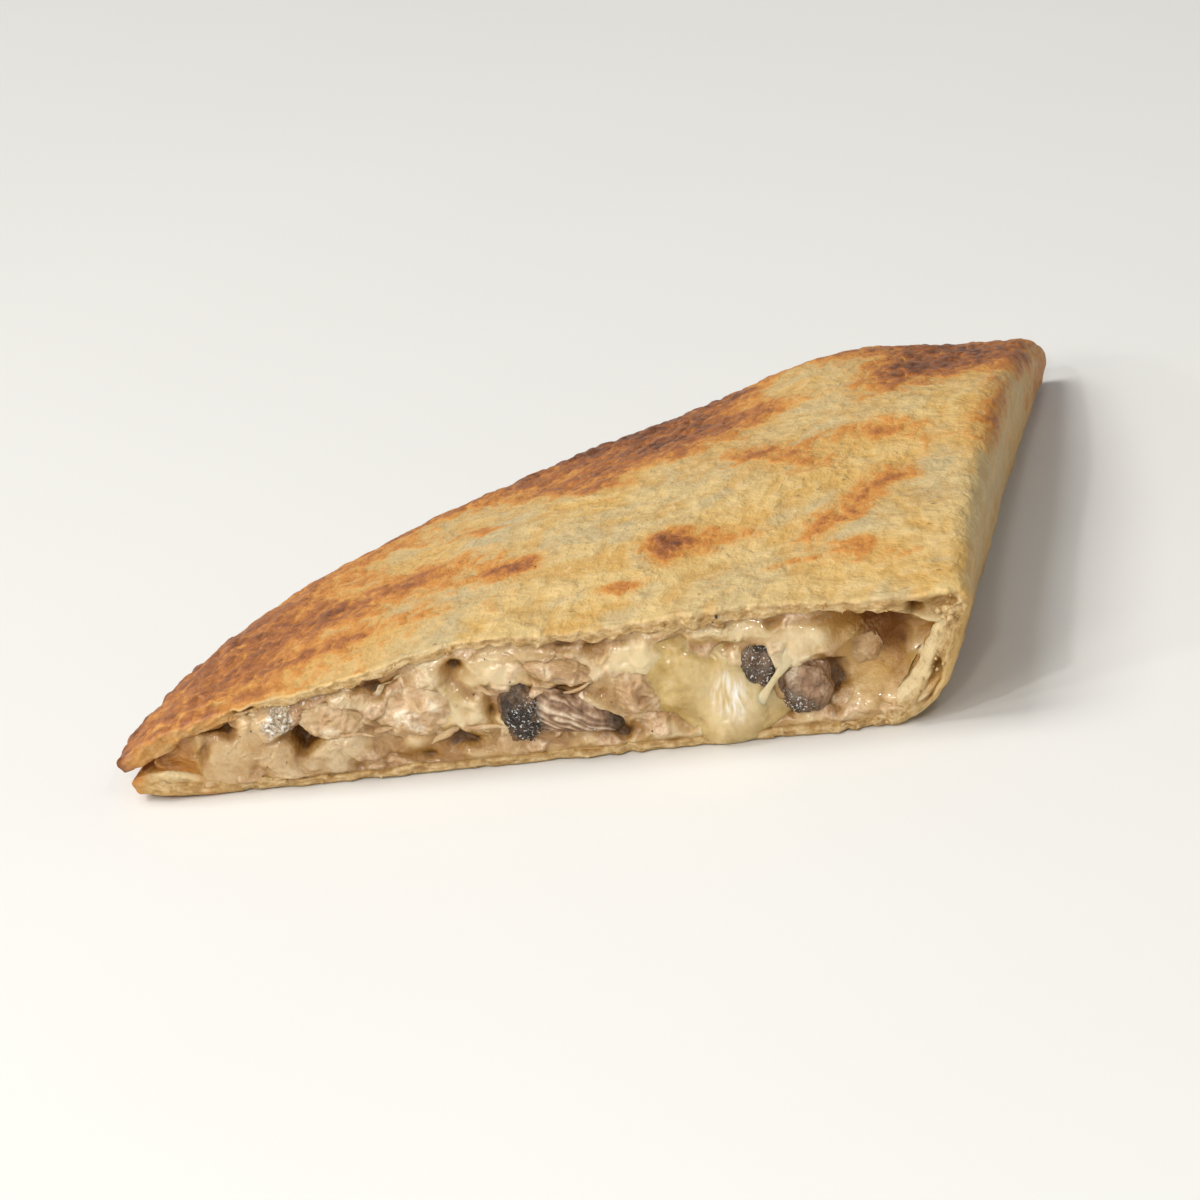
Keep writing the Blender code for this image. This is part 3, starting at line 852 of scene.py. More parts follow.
# Smooth mounds: x, z, half width, half height, height, and how cheesy they are.
MOUNDS = (
    (-108.0, 8.2, 2.4, 1.8, 0.9, 0.0),
    (-100.8, 6.2, 4.2, 3.3, 1.0, 0.1),
    (-95.6, 4.8, 3.6, 2.4, 0.9, 0.0),
    (-98.8, 10.4, 1.7, 2.6, 1.1, 0.4),
    (-95.2, 9.3, 2.7, 2.3, 1.7, 0.2),
    (-86.8, 5.6, 3.8, 2.5, 1.2, 0.8),
    (-84.4, 12.6, 2.2, 1.8, 1.2, 0.1),
    (-64.6, 13.9, 3.4, 2.4, 0.9, 0.6),
    (-66.0, 5.8, 2.0, 2.4, 0.5, 0.4),
    (-69.8, 9.4, 2.6, 3.2, 0.5, 0.7),
    (-60.0, 16.2, 5.0, 1.4, 0.6, 0.3),
    (-41.8, 13.7, 4.6, 2.4, 1.0, 1.0),
    (-37.2, 10.0, 4.6, 4.0, -0.3, 1.0),
    (-30.0, 15.7, 7.5, 1.3, 0.6, 0.8),
    (-19.5, 14.2, 4.6, 1.8, 0.5, 0.6),
    (-12.6, 11.6, 3.4, 3.2, 0.7, 0.3),
    (-12.4, 5.4, 3.4, 2.4, 0.5, 0.2),
)


def face_relief(x, z):
    """How far the sauce stands out of the cut face, how cheesy, meaty and wet it is there, and
    masks for painted shade, darker in its hollows and low places and lighter on raised ones: broad
    swells, clots where it is lumpy, tilted cells for the chopped meat, mounds height sqrt(1.2 - r^2)
    laid over them, pits as bells, and ripples in the wet spots, all on stirred places. It keeps back
    from the fronts of the lumps."""
    own_x, own_z = x, z
    x, z = stirred(x, z, size=3.2, reach=1.1, seed=84)
    flat = flat_place(x, UPRIGHT * z)
    lumpy = ease(noise(flat / (9, 7, 1), 90), -0.6, 0.1)
    broad = layered(flat, BROAD_LAYERS)
    clots = lumpy * layered(flat, CLOT_LAYERS)
    border, own, other, tilted = chunks(x, UPRIGHT * z, CHOPPED_SIZE, seed=85)
    meaty = (other > 1 - CHOPPED_SHARE) * ease(border, 0, CHOPPED_BORDER) * lumpy
    strands = 0.1 * noise(flat_place(x / 2.6, z / 0.5 + x / 4), 87)
    least, by_chance, by_tilt = CHOPPED_HEIGHTS
    meat = meaty * (least + by_chance * own + by_tilt * tilted + strands)
    fine = 0.06 * rough(flat / 0.8, 2, 83) * (0.3 + 0.7 * lumpy)
    relief = broad + clots + meat + fine
    cheesy = 0
    for mound_x, mound_z, wide, high, height, share in MOUNDS:
        square = oval_square(x, z, (mound_x, mound_z), wide, high)
        cover = 1 - ease(square, 0.4, 1.6)
        swell = height * np.sqrt(np.maximum(1.2 - square, 0)) + MOUND_SHOWS * (broad + clots)
        relief = relief + MOUND_COVER * cover * (swell - relief)
        cheesy = np.maximum(cheesy, share * cover)
        meaty = meaty * (1 - 0.85 * cover)
    pitted = 0
    for pit_x, pit_z, wide, high, depth in PITS:
        square = oval_square(x, z, (pit_x, pit_z), wide, high)
        pitted = pitted + depth * np.exp(-(square**0.8))
    wet = 0
    for wet_x, wet_z, radius in WET_SPOTS:
        wet = np.maximum(wet, bell(np.hypot(x - wet_x, z - wet_z), 0, radius))
    relief = np.minimum(relief, MOST_RELIEF) - np.minimum(pitted, MOST_PIT)
    relief = relief + 0.28 * wet * puffs(flat / 0.9, 89)
    covered = 0
    for centre, size, *_ in (*(row[1:] for row in (*CHICKEN, *MUSHROOM)), SLICE_CAP):
        square = oval_square(own_x, own_z, centre[::2], size[0] / 2, size[2] / 2)
        covered = np.maximum(covered, 1 - ease(square, 0.3, 0.65))
    relief = relief - covered * np.maximum(relief + 0.6, 0)
    relief = relief * (1 - 0.45 * ease(own_x, RECESS_FROM, RECESS_TO))
    # Painted shade: low places and pits darken the sauce's colour, and raised places lighten it.
    sunk = 0.6 * ease(-relief, 0.1, 1.6) * (1 - 0.4 * cheesy) * (1 - covered)
    hollow = np.clip(pitted / 2.4, 0, 1) + sunk
    raised = ease(relief, -1.0, 1.3) * (1 - covered) + 0.5 * covered
    return relief, cheesy, np.clip(hollow, 0, 1), meaty, wet, raised


def filling_place(right, up, back, relief):
    """A place in the filling from its shares of the way to the tip, to the upper layer and to the
    far side: a half round in each level, between the inner faces of the layers, set back from the
    cut and less so where its relief stands out."""
    margin = ease(up, 0, EDGE_MARGIN) * ease(1 - up, *TOP_MARGIN)
    relief = relief * margin - MARGIN_DEPTH * (1 - margin)
    reach = FILLING_REACH * (1 - SIDE_BULGE * (2 * up - 1) ** 2)
    across, along = half_round(right, back, reach - FILLING_START)
    from_fold = FILLING_START + across
    x = BEND_HALF - BEND_REACH - from_fold
    recess = ease(x, RECESS_FROM, RECESS_TO) * ease(MIDDLE_HEIGHT * up, RECESS_FOOT, RECESS_BROW)
    pocket = ease(-x, -POCKET_FROM, -POCKET_TO)
    depth = FACE_SET_BACK + RECESS_DEPTH * recess + POCKET_DEPTH * pocket - relief
    along = along + depth * (1 - back) ** 4
    low, high = (inside(side * from_fold, along, WALL - TUCK + 0 * along) for side in (-1, 1))
    return low + (high - low) * up[..., None]


def make_filling(look):
    """A quarter disc of sauce between the layers, tucked a little into them: a fine cut face,
    rings that run back through the food, and a coarse far side."""
    right, up = even_grid(*FILLING_CELLS)
    x, _, z = np.moveaxis(filling_place(right, up, 0, 0), -1, 0)
    relief, cheesy, hollow, meaty, wet, raised = face_relief(x, z)
    golden = ease(-x, -POCKET_FROM - 1, -POCKET_TO)
    recessed = ease(x, RECESS_FROM, RECESS_TO) * ease(z, 0, RECESS_BROW)
    strip = oval(x, z, *PALE_STRIP)
    golden = np.maximum(golden, RECESS_GOLD * recessed * (1 - strip))
    golden = np.maximum(golden, END_GOLD * ease(-x, *AMBER_END))
    cheesy = np.maximum(cheesy, strip)
    hollow = hollow * (1 - STRIP_FILLS * strip)
    foam = oval(*stirred(x, z, size=1.3, reach=1.1, seed=93), *FOAM)
    face = filling_place(right, up, 0, relief)
    backs = np.array(FILLING_RINGS)[:, None]
    edge_right, edge_up, edge_relief = (grid_edge(values) for values in (right, up, relief))
    rings = filling_place(edge_right, edge_up + 0 * backs, backs, edge_relief)
    far_right, far_up = (
        margin + (1 - 2 * margin) * share[::FILLING_STRIDE, ::FILLING_STRIDE]
        for margin, share in zip(FAR_MARGINS, (right, up))
    )
    back = filling_place(far_right, far_up, 1, 0)
    shape = closed_sheet(face, rings, back, FILLING_STRIDE)
    rest = np.zeros(len(shape[0]) - up.size)
    # Three of these tags carry painted shade and light for the sauce: in the hollows, by height, and in
    # the recess corner.
    tags = {
        "cheesy": strung(cheesy, rest),
        "hollow": strung(hollow, rest),
        "meaty": strung(meaty, rest),
        "wet": strung(wet, rest),
        "raised": strung(raised, 0.5 + rest),
        "golden": strung(golden, 1 + rest),
        "foam": strung(foam, rest),
        "amber": strung(oval(x, z, *SHADED_CORNER), rest),
        "deep": strung(ease(-x, *DEEPER_END), rest),
    }
    new_piece("creamy_sauce_filling", shape, look, ["creamy_filling"], tags)


# ---- Lumps in the cut face ----


def lump_places(ways, centre, size, tilt, seed, front, join_depth):
    """Places over a lump: an ellipsoid swollen by noise and tilted about y, whose back half runs
    to its full depth and whose front half is a low dome that stands out from the join depth."""
    turned = math.radians(tilt)
    wobble = 0.2 * rough(ways * 1.5 + seed, 3, seed)
    x, _, z = np.moveaxis(ways * (1 + wobble[..., None]) * np.array(size) / 2, -1, 0)
    depth = np.where(ways[:, 1] < 0, front, centre[1] + size[1] / 2 - join_depth)
    over = x * math.cos(turned) + z * math.sin(turned)
    up = z * math.cos(turned) - x * math.sin(turned)
    return put(centre[0] + over, join_depth + ways[:, 1] * depth, centre[2] + up)


def front_share(ways):
    """1 on the front of a ball, falling to 0 at its sides."""
    return ease(-ways[:, 1], 0.05, 0.5)


def make_chicken(look):
    """Uneven chunks: a low dome cut by the least of some tilted planes, with strands as noise drawn
    out along the grain, and thin sauce round its edge."""
    ways, *faces = ball(spokes=180, rings=110)
    for (name, centre, size, tilt, seed), brown in zip(CHICKEN, CHICKEN_BROWN):
        draw = np.random.default_rng(seed)
        sunk = max(0.0, centre[1] - 3.5)
        front, join_depth = 1.9 - 0.3 * sunk, 1.1 + 1.45 * sunk
        places = lump_places(ways, centre, size, tilt, seed, front, join_depth)
        x, z = stirred(places[:, 0], places[:, 2], size=2.2, reach=0.8, seed=seed + 2)
        planes = []
        for _ in range(CHUNK_PLANES):
            way, slope = draw.uniform(0, math.tau), draw.uniform(0.12, 0.5)
            over = (x - centre[0]) * math.cos(way) + (z - centre[2]) * math.sin(way)
            planes.append(draw.uniform(0.3, 1.0) - slope * over)
        facets = 0.8 * np.min(planes, axis=0)
        slope = draw.uniform(-0.5, 0.3)
        strand = flat_place((x - slope * z) / 3.0, (z + slope * x) / 0.6)
        strands = 0.1 * noise(strand, seed + 20) + 0.14 * noise(strand * (0.6, 0.4, 1), seed + 21)
        flat = flat_place(x, z)
        knobs = 0.45 * noise(flat / 2.3, seed + 24) + 0.4 * puffs(flat / 1.5, seed + 22)
        places[:, 1] -= (facets + strands + knobs) * front_share(ways)
        # The groove tag marks low places between the strands, for painted shade.
        tags = {
            "groove": ease(-strands - knobs, 0.0, 0.5),
            "edge": ease(np.hypot(ways[:, 0], ways[:, 2]) + 0.3 * sunk, 0.5, 0.9),
            "brown": brown + 0 * facets,
        }
        new_piece(name + "_cut", (places, *faces), look, [name], tags)


def tube(path, wide, deep, sides, steps):
    """A closed tube along a smooth path: Catmull-Rom points between the given ones, an oval
    section of half sizes wide and deep square to the path, and rounded ends."""
    place = np.linspace(0, 1, steps)
    given = np.column_stack([path, wide, deep])
    centre, half_wide, half_deep = np.split(smooth_between(given, place), (3, 4), axis=1)
    along = unit(np.gradient(centre, axis=0))
    aside = unit(np.cross(along, (0, -1, 0)))
    front = unit(np.cross(aside, along))
    cap = np.sqrt(np.clip(1 - np.abs(2 * place - 1) ** 9, 0, 1))[:, None]
    angle = np.arange(sides)[None] * math.tau / sides
    ring = aside[:, None] * (np.cos(angle) * (half_wide * cap))[..., None]
    ring = ring + front[:, None] * (np.sin(angle) * (half_deep * cap))[..., None]
    return closed_rings((centre[:, None] + ring)[1:-1], centre[0], centre[-1])


def smooth_between(values, place):
    """Catmull-Rom blend of evenly spaced values: each stretch is a cubic whose end slopes are
    half the difference of its neighbours."""
    padded = np.vstack([2 * values[0] - values[1], values, 2 * values[-1] - values[-2]])
    spot = place * (len(values) - 1)
    first = np.minimum(spot.astype(int), len(values) - 2)
    t = (spot - first)[:, None]
    before, start, end, after = (padded[first + k] for k in range(4))
    cubic = 2 * t**3 - 3 * t**2
    level = (cubic + 1) * start - cubic * end
    slopes = (t**3 - 2 * t**2 + t) * (end - before) + (t**3 - t**2) * (after - start)
    return level + slopes / 2


def join(*shapes):
    """One shape from several: the point numbers of each follow on from the last."""
    places, quads, triangles, count = [], [], [], 0
    for shape in shapes:
        places.append(shape[0])
        quads.append(shape[1] + count)
        triangles.append(shape[2] + count)
        count += len(shape[0])
    return np.vstack(places), np.vstack(quads), np.vstack(triangles)


def pale_at(places, shades):
    """How pale a mushroom is: bells about places in the cut face, each with its own share."""
    over, _, up = places.T
    spots = (share * oval(over, up, (x, z), radius, radius) for x, z, radius, share in shades)
    return np.clip(sum(spots), 0, 1)


def make_mushroom(look):
    """Dark wet caps with a shallow dish in front, and a slice whose paler stem runs down from its
    cap with gills along it."""
    ways, *faces = ball(spokes=150, rings=90)
    radius = np.hypot(ways[:, 0], ways[:, 2])
    edge = ease(radius, 0.86, 0.99)

    def cap(centre, size, tilt, seed):
        """A crumpled cap with a shallow dish in front."""
        places = lump_places(ways, centre, size, tilt, seed, front=1.9, join_depth=1.0)
        crumple = 0.22 * puffs(places / 1.6, seed + 8) + 0.2 * puffs(places / 0.75, seed + 9)
        dish = 0.3 * (1 - ease(radius, 0.2, 0.7))
        places[:, 1] -= (crumple - dish) * front_share(ways)
        return places

    for (name, *form), shades, glint_places in zip(MUSHROOM, PALE_SPOTS, GLINT_SPOTS):
        places = cap(*form)
        tags = {
            "pale": pale_at(places, shades),
            "fleck": pale_at(places, glint_places),
            "gill": 0.5 + 0.4 * noise(places / 2.1, 71),
            "edge": edge,
        }
        new_piece(name + "_cut", (places, *faces), look, [name], tags)

    cap_places = cap(*SLICE_CAP)
    stem_places, *stem_faces = tube(STEM, STEM_RADII, STEM_DEPTHS, sides=90, steps=110)
    x, _, z = stem_places.T
    line_x, _, line_z = np.array(STEM).T
    slanted = z - np.interp(x, line_x, line_z) + 0.22 * (x - line_x[0])
    slanted = slanted + 0.5 * noise(stem_places / 2.6, 97)
    gills = 0.6 * puffs(flat_place(slanted / 0.9, x / 4.5), 95) + 0.35 * noise(stem_places / 1.3, 96)
    stem_places = stem_places + np.array((0, -GILL_HEIGHT, 0)) * gills[:, None]
    shape = join((cap_places, *faces), (stem_places, *stem_faces))
    pale = strung(pale_at(cap_places, PALE_SPOTS[2]), ease(stem_places[:, 0], *STEM_PALES))
    tags = {
        "pale": pale * (1 - 0.8 * ease(shape[0][:, 0], *STEM_DARKENS)),
        "fleck": pale_at(shape[0], GLINT_SPOTS[2]),
        "gill": strung(0.5 + 0 * radius, np.clip(0.5 + gills, 0, 1)),
        "edge": strung(edge, 0 * gills),
    }
    new_piece("mushroom_slice_cut", shape, look, ["mushroom_slice"], tags)


def make_cheese(look):
    """A melted sheet over the cut face: low domes h (1 - r^2)^0.7 run together by a soft maximum,
    with faint runs that fan out down the drip and carry its painted highlight streaks, and a strand
    pulled up from it. Outside the domes the sheet dives under the sauce."""
    right, up = even_grid(*CHEESE_CELLS)
    (low_x, low_z), (high_x, high_z) = CHEESE_REACH
    x, z = high_x + (low_x - high_x) * right, low_z + (high_z - low_z) * up
    bent_x, bent_z = stirred(x, z, size=3.0, reach=0.4, seed=61)
    total = 0
    for *form, height in CHEESE_DOMES:
        dome = 1 - oval_square(bent_x, bent_z, *form)
        dome = np.where(dome > 0, height * np.maximum(dome, 0) ** 0.7, 0.9 * np.maximum(dome, -4))
        total = total + np.exp(dome / CHEESE_BLEND)
    thick = CHEESE_BLEND * np.log(total)
    fan = (bent_x - DRIP_TOP[0]) / (2.0 + 0.3 * np.maximum(DRIP_TOP[1] - z, 0))
    runs = noise(flat_place(fan / 0.17, z / 3), 64) + 0.7 * noise(flat_place(fan / 0.07, z / 1.6), 68)
    sheen = oval(x, z, *DRIP_SHEEN)
    runs = runs * sheen
    thick = thick + 0.03 * runs + layered(flat_place(x, z), CHEESE_LAYERS)
    face = put(x, FACE_SET_BACK - thick, z)
    face[..., 2] = np.maximum(face[..., 2], 0.05)
    edge_x, edge_y, edge_z = grid_edge(face).T
    backs = np.array(CHEESE_RINGS)[:, None]
    rings = put(edge_x, edge_y + backs * (CHEESE_BACK - edge_y), edge_z)
    back = face[::CHEESE_STRIDE, ::CHEESE_STRIDE].copy()
    back[..., 1] = CHEESE_BACK
    cheese = closed_sheet(face, rings, back, CHEESE_STRIDE)
    strand = tube(STRAND, STRAND_RADII, STRAND_DEPTHS, sides=16, steps=40)
    drip = bell(x, *DRIP_ACROSS) * (1 - ease(z, *DRIP_STARTS)) * (0.3 + 0.7 * ease(z, *DRIP_ENDS))
    rest = strung(np.zeros(len(cheese[0]) - x.size), np.full(len(strand[0]), 0.6))
    # The runs tag carries the painted highlight streaks down the drip.
    tags = {
        "runs": strung(0.45 + 0.6 * runs + 0.22 * sheen, rest),
        "drip": strung(drip, rest),
    }
    shape = join(cheese, strand)
    new_piece("melted_cheese_drip", shape, look, ["melted_cheese"], tags)


# ---- Small things ----

PEPPER_COUNT, PEPPER_SIZES = 48, (0.14, 0.36)
# Two large specks on the upper lip: their places along the cut.
LIP_SPECKS = 35.6, 36.3
# Crumbs that cling together in the torn bubble: place along the cut, depth, size, how far back.
FLAKE = (
    (10.4, 2.9, 1.1, 0.5),
    (9.4, 2.7, 1.3, 0.4),
    (8.4, 3.0, 1.2, 0.2),
    (9.9, 3.6, 1.0, 0.1),
    (8.9, 3.8, 0.8, 0.0),
    (7.6, 2.3, 0.9, 0.4),
)
CRUMB_COUNT, CRUMB_SIZES = 130, (0.2, 0.6)
SHRED_COUNT = 7


def grit(count, low, high, draw):
    """Small uneven grains: a ball of few faces, each copy with its own noise, size and turn."""
    ways, quads, triangles = ball(spokes=7, rings=5)
    sizes = draw.uniform(low, high, (count, 1, 1)) * draw.uniform(0.55, 1.0, (count, 1, 3))
    knobs = 1 + 0.25 * draw.uniform(-1, 1, (count, len(ways), 1))
    shapes = ways[None] * sizes / 2 * knobs
    angles, axes = draw.uniform(0, math.tau, count), draw.uniform(-1, 1, (count, 3))
    turns = [Matrix.Rotation(angle, 3, Vector(axis)) for angle, axis in zip(angles, axes)]
    return np.einsum("nij,nkj->nki", np.array(turns), shapes), quads, triangles


def make_pepper(look):
    """Specks of ground pepper on the skin and in the sauce of the cut face."""
    draw = np.random.default_rng(31)
    shapes, quads, triangles = grit(PEPPER_COUNT, *PEPPER_SIZES, draw)
    on_top = PEPPER_COUNT // 3
    u, w = draw.uniform(0.1, 0.97, on_top), draw.uniform(0.02, 0.95, on_top)
    across, along = half_round(u, w, ROUND_RADIUS - 6)
    from_fold = across + FOLD_SHIFT
    shapes[:2] *= 2
    top = skin(from_fold, along, toast_and_side_shade_at(from_fold, along))
    on_lip = np.array(LIP_SPECKS)
    top[:2] = inside(on_lip, ragged_cut(on_lip) - 0.1, np.array((0.8, 1.6)))
    x = draw.uniform(-102, -20, PEPPER_COUNT - on_top)
    share = draw.uniform(0, 1, PEPPER_COUNT - on_top)
    ceiling = top_height(BEND_HALF - BEND_REACH - x, 0 * x) - WALL
    z = 3 + share * (ceiling - 3.4)
    relief, *_ = face_relief(x, z)
    cut = put(x, FACE_SET_BACK - relief, z)
    shapes = shapes + np.vstack([top, cut])[:, None]
    new_piece("pepper_specks", many(shapes, quads, triangles), look)


def make_crumbs(look):
    """Crumbs of dough that cling along the cut edges of both layers."""
    draw = np.random.default_rng(47)
    shapes, quads, triangles = grit(CRUMB_COUNT, *CRUMB_SIZES, draw)
    from_fold = draw.uniform(-ROUND_RADIUS + 6, ROUND_RADIUS - 6, CRUMB_COUNT)
    from_fold[: CRUMB_COUNT // 4] = draw.uniform(-13, 6, CRUMB_COUNT // 4)
    along = ragged_cut(from_fold) + 0.1
    depth = draw.uniform(0.15, 0.95, CRUMB_COUNT) * dough_at(from_fold, along)
    places = inside(from_fold, along, depth)
    places[:, 1] -= draw.uniform(-0.05, 0.2, CRUMB_COUNT)
    places[:, 2] = np.maximum(places[:, 2], 0.45)
    flake_fold, flake_depth, flake_size, flake_back = np.array(FLAKE).T
    count = len(FLAKE)
    from_fold[:count], depth[:count] = flake_fold, flake_depth
    shapes[:count] *= flake_size[:, None, None] / 0.4
    places[:count] = inside(flake_fold, flake_back, flake_depth)
    shapes = shapes + places[:, None]
    flat = np.repeat(put(from_fold, along, depth) * MM, shapes.shape[1], axis=0)
    ones = np.ones(len(flat))
    tags = {"flat": flat, "toast": 0.1 * ones, "crumb": ones, "within": 0 * ones, "hollow": 0 * ones}
    shape = many(shapes, quads, triangles)
    new_piece("dough_crumbs", shape, look, (), tags)


def make_shreds(look):
    """Thin strands of chicken that lie in the sauce: curved tubes with tapered ends."""
    draw = np.random.default_rng(23)
    shapes = []
    for _ in range(SHRED_COUNT):
        x, share = draw.uniform(-102, -48), draw.uniform(0.12, 0.95)
        ceiling = float(top_height(np.array(BEND_HALF - BEND_REACH - x), np.array(0.0))) - WALL - 0.8
        z = 3.2 + (ceiling - 3.2) * share
        length, slope = draw.uniform(2.5, 6.5), draw.uniform(-0.5, 0.5)
        steps = np.array((-0.5, -0.2, 0.15, 0.5))
        bend = draw.uniform(-0.7, 0.7, 4) * 0.6
        forward = draw.uniform(-0.35, 0.5) + bend * 0.4
        path = put(x + steps * length, forward, z + steps * length * slope + bend)
        width = draw.uniform(0.22, 0.42)
        widths = width * np.array((0.5, 1, 0.95, 0.4))
        shapes.append(tube(path, widths, widths * 0.9, sides=10, steps=24))
    shape = join(*shapes)
    ones = np.ones(len(shape[0]))
    # An even share of painted groove shade, and of the cream edge.
    tags = {"groove": 0.25 * ones, "edge": 0.4 * ones, "brown": 0.4 * ones}
    new_piece("chicken_shreds", shape, look, (), tags)


# ---- Finishes ----


class Shade:
    """One shader socket. Sums on it add Math nodes, and node() adds a node of any other kind."""

    def __init__(self, tree, socket=None):
        self.tree, self.socket = tree, socket

    def node(self, kind, settings=(), sockets=(), result=0):
        """Adds a node: its settings come first, then its sockets' values or links by name or
        number. A ramp's stops are a setting, as pairs of place and colour."""
        made = self.tree.nodes.new(kind)
        for key, value in dict(settings).items():
            if key == "stops":
                points = made.color_ramp.elements
                points[0].position, points[1].position = value[0][0], value[-1][0]
                for place, _ in value[1:-1]:
                    points.new(place)
                for point, (_, colour) in zip(points, value):
                    point.color = (*colour, 1)
            else:
                setattr(made, key, value)
        for key, value in dict(sockets).items():
            if isinstance(value, Shade):
                self.tree.links.new(value.socket, made.inputs[key])
            else:
                made.inputs[key].default_value = value
        return Shade(self.tree, made.outputs[result])

    def sum(self, operation, first, second):
        """A Math node on two sockets or numbers."""
        return self.node("ShaderNodeMath", {"operation": operation}, {0: first, 1: second})

    def __add__(self, other):
        return self.sum("ADD", self, other)

    __radd__ = __add__

    def __sub__(self, other):
        return self.sum("SUBTRACT", self, other)

    def __rsub__(self, other):
        return self.sum("SUBTRACT", other, self)

    def __mul__(self, other):
        return self.sum("MULTIPLY", self, other)

    __rmul__ = __mul__

    def tag(self, name, result="Fac"):
        """The piece's own attribute of that name."""
        return self.node("ShaderNodeAttribute", {"attribute_name": name}, result=result)

    def tags(self, *names):
        """Several attributes of the piece."""
        return [self.tag(name) for name in names]

    def stretched(self, scale):
        """A place scaled apart along its axes."""
        return self.node("ShaderNodeMapping", {}, {"Vector": self, "Scale": scale})

    def grain(self, size, detail=3, roughness=0.55, distortion=0.0):
        """Noise on a place, with features of about a size in millimetres."""
        sockets = {"Vector": self, "Scale": 1 / (size * MM), "Detail": detail}
        sockets |= {"Roughness": roughness, "Distortion": distortion}
        return self.node("ShaderNodeTexNoise", {}, sockets)

    def cells(self, size):
        """Distance to scattered points about a size apart, in millimetres."""
        return self.node("ShaderNodeTexVoronoi", {}, {"Vector": self, "Scale": 1 / (size * MM)})

    def eased(self, low, high):
        """Runs smoothly from 0 at low to 1 at high."""
        settings = {"interpolation_type": "SMOOTHSTEP"}
        sockets = {"Value": self, "From Min": low, "From Max": high}
        return self.node("ShaderNodeMapRange", settings, sockets)

    def ramp(self, *stops):
        """Colours laid out along the value."""
        return self.node("ShaderNodeValToRGB", {"stops": stops}, {"Fac": self})

    def mixed(self, first, second, how="MIX"):
        """From the first colour at 0 to the second at 1, or to their product with MULTIPLY."""
        settings = {"data_type": "RGBA", "blend_type": how}
        first, second = (c if isinstance(c, Shade) else (*c, 1) for c in (first, second))
        return self.node("ShaderNodeMix", settings, {0: self, 6: first, 7: second}, result=2)

    def painted(self, *coats):
        """A colour with others laid over it in turn, each by its own share."""
        colour = self
        for share, coat in coats:
            colour = share.mixed(colour, coat)
        return colour


def new_look(name, recipe, **constants):
    """A material: the recipe gives what changes over the surface, with the bump's height in
    millimetres, and the constants are set on the shader's own sockets."""
    material = bpy.data.materials.new(name)
    material.use_nodes = True
    tree = material.node_tree
    shader = tree.nodes["Principled BSDF"]
    for key, value in constants.items():
        shader.inputs[key.replace("_", " ")].default_value = value
    place = Shade(tree).node("ShaderNodeTexCoord", result="Object")
    made = recipe(place)
    height = made.pop("Height")
    made["Normal"] = place.node("ShaderNodeBump", {}, {"Height": height, "Distance": MM})
    for key, value in made.items():
        tree.links.new(value.socket, shader.inputs[key])
    return material


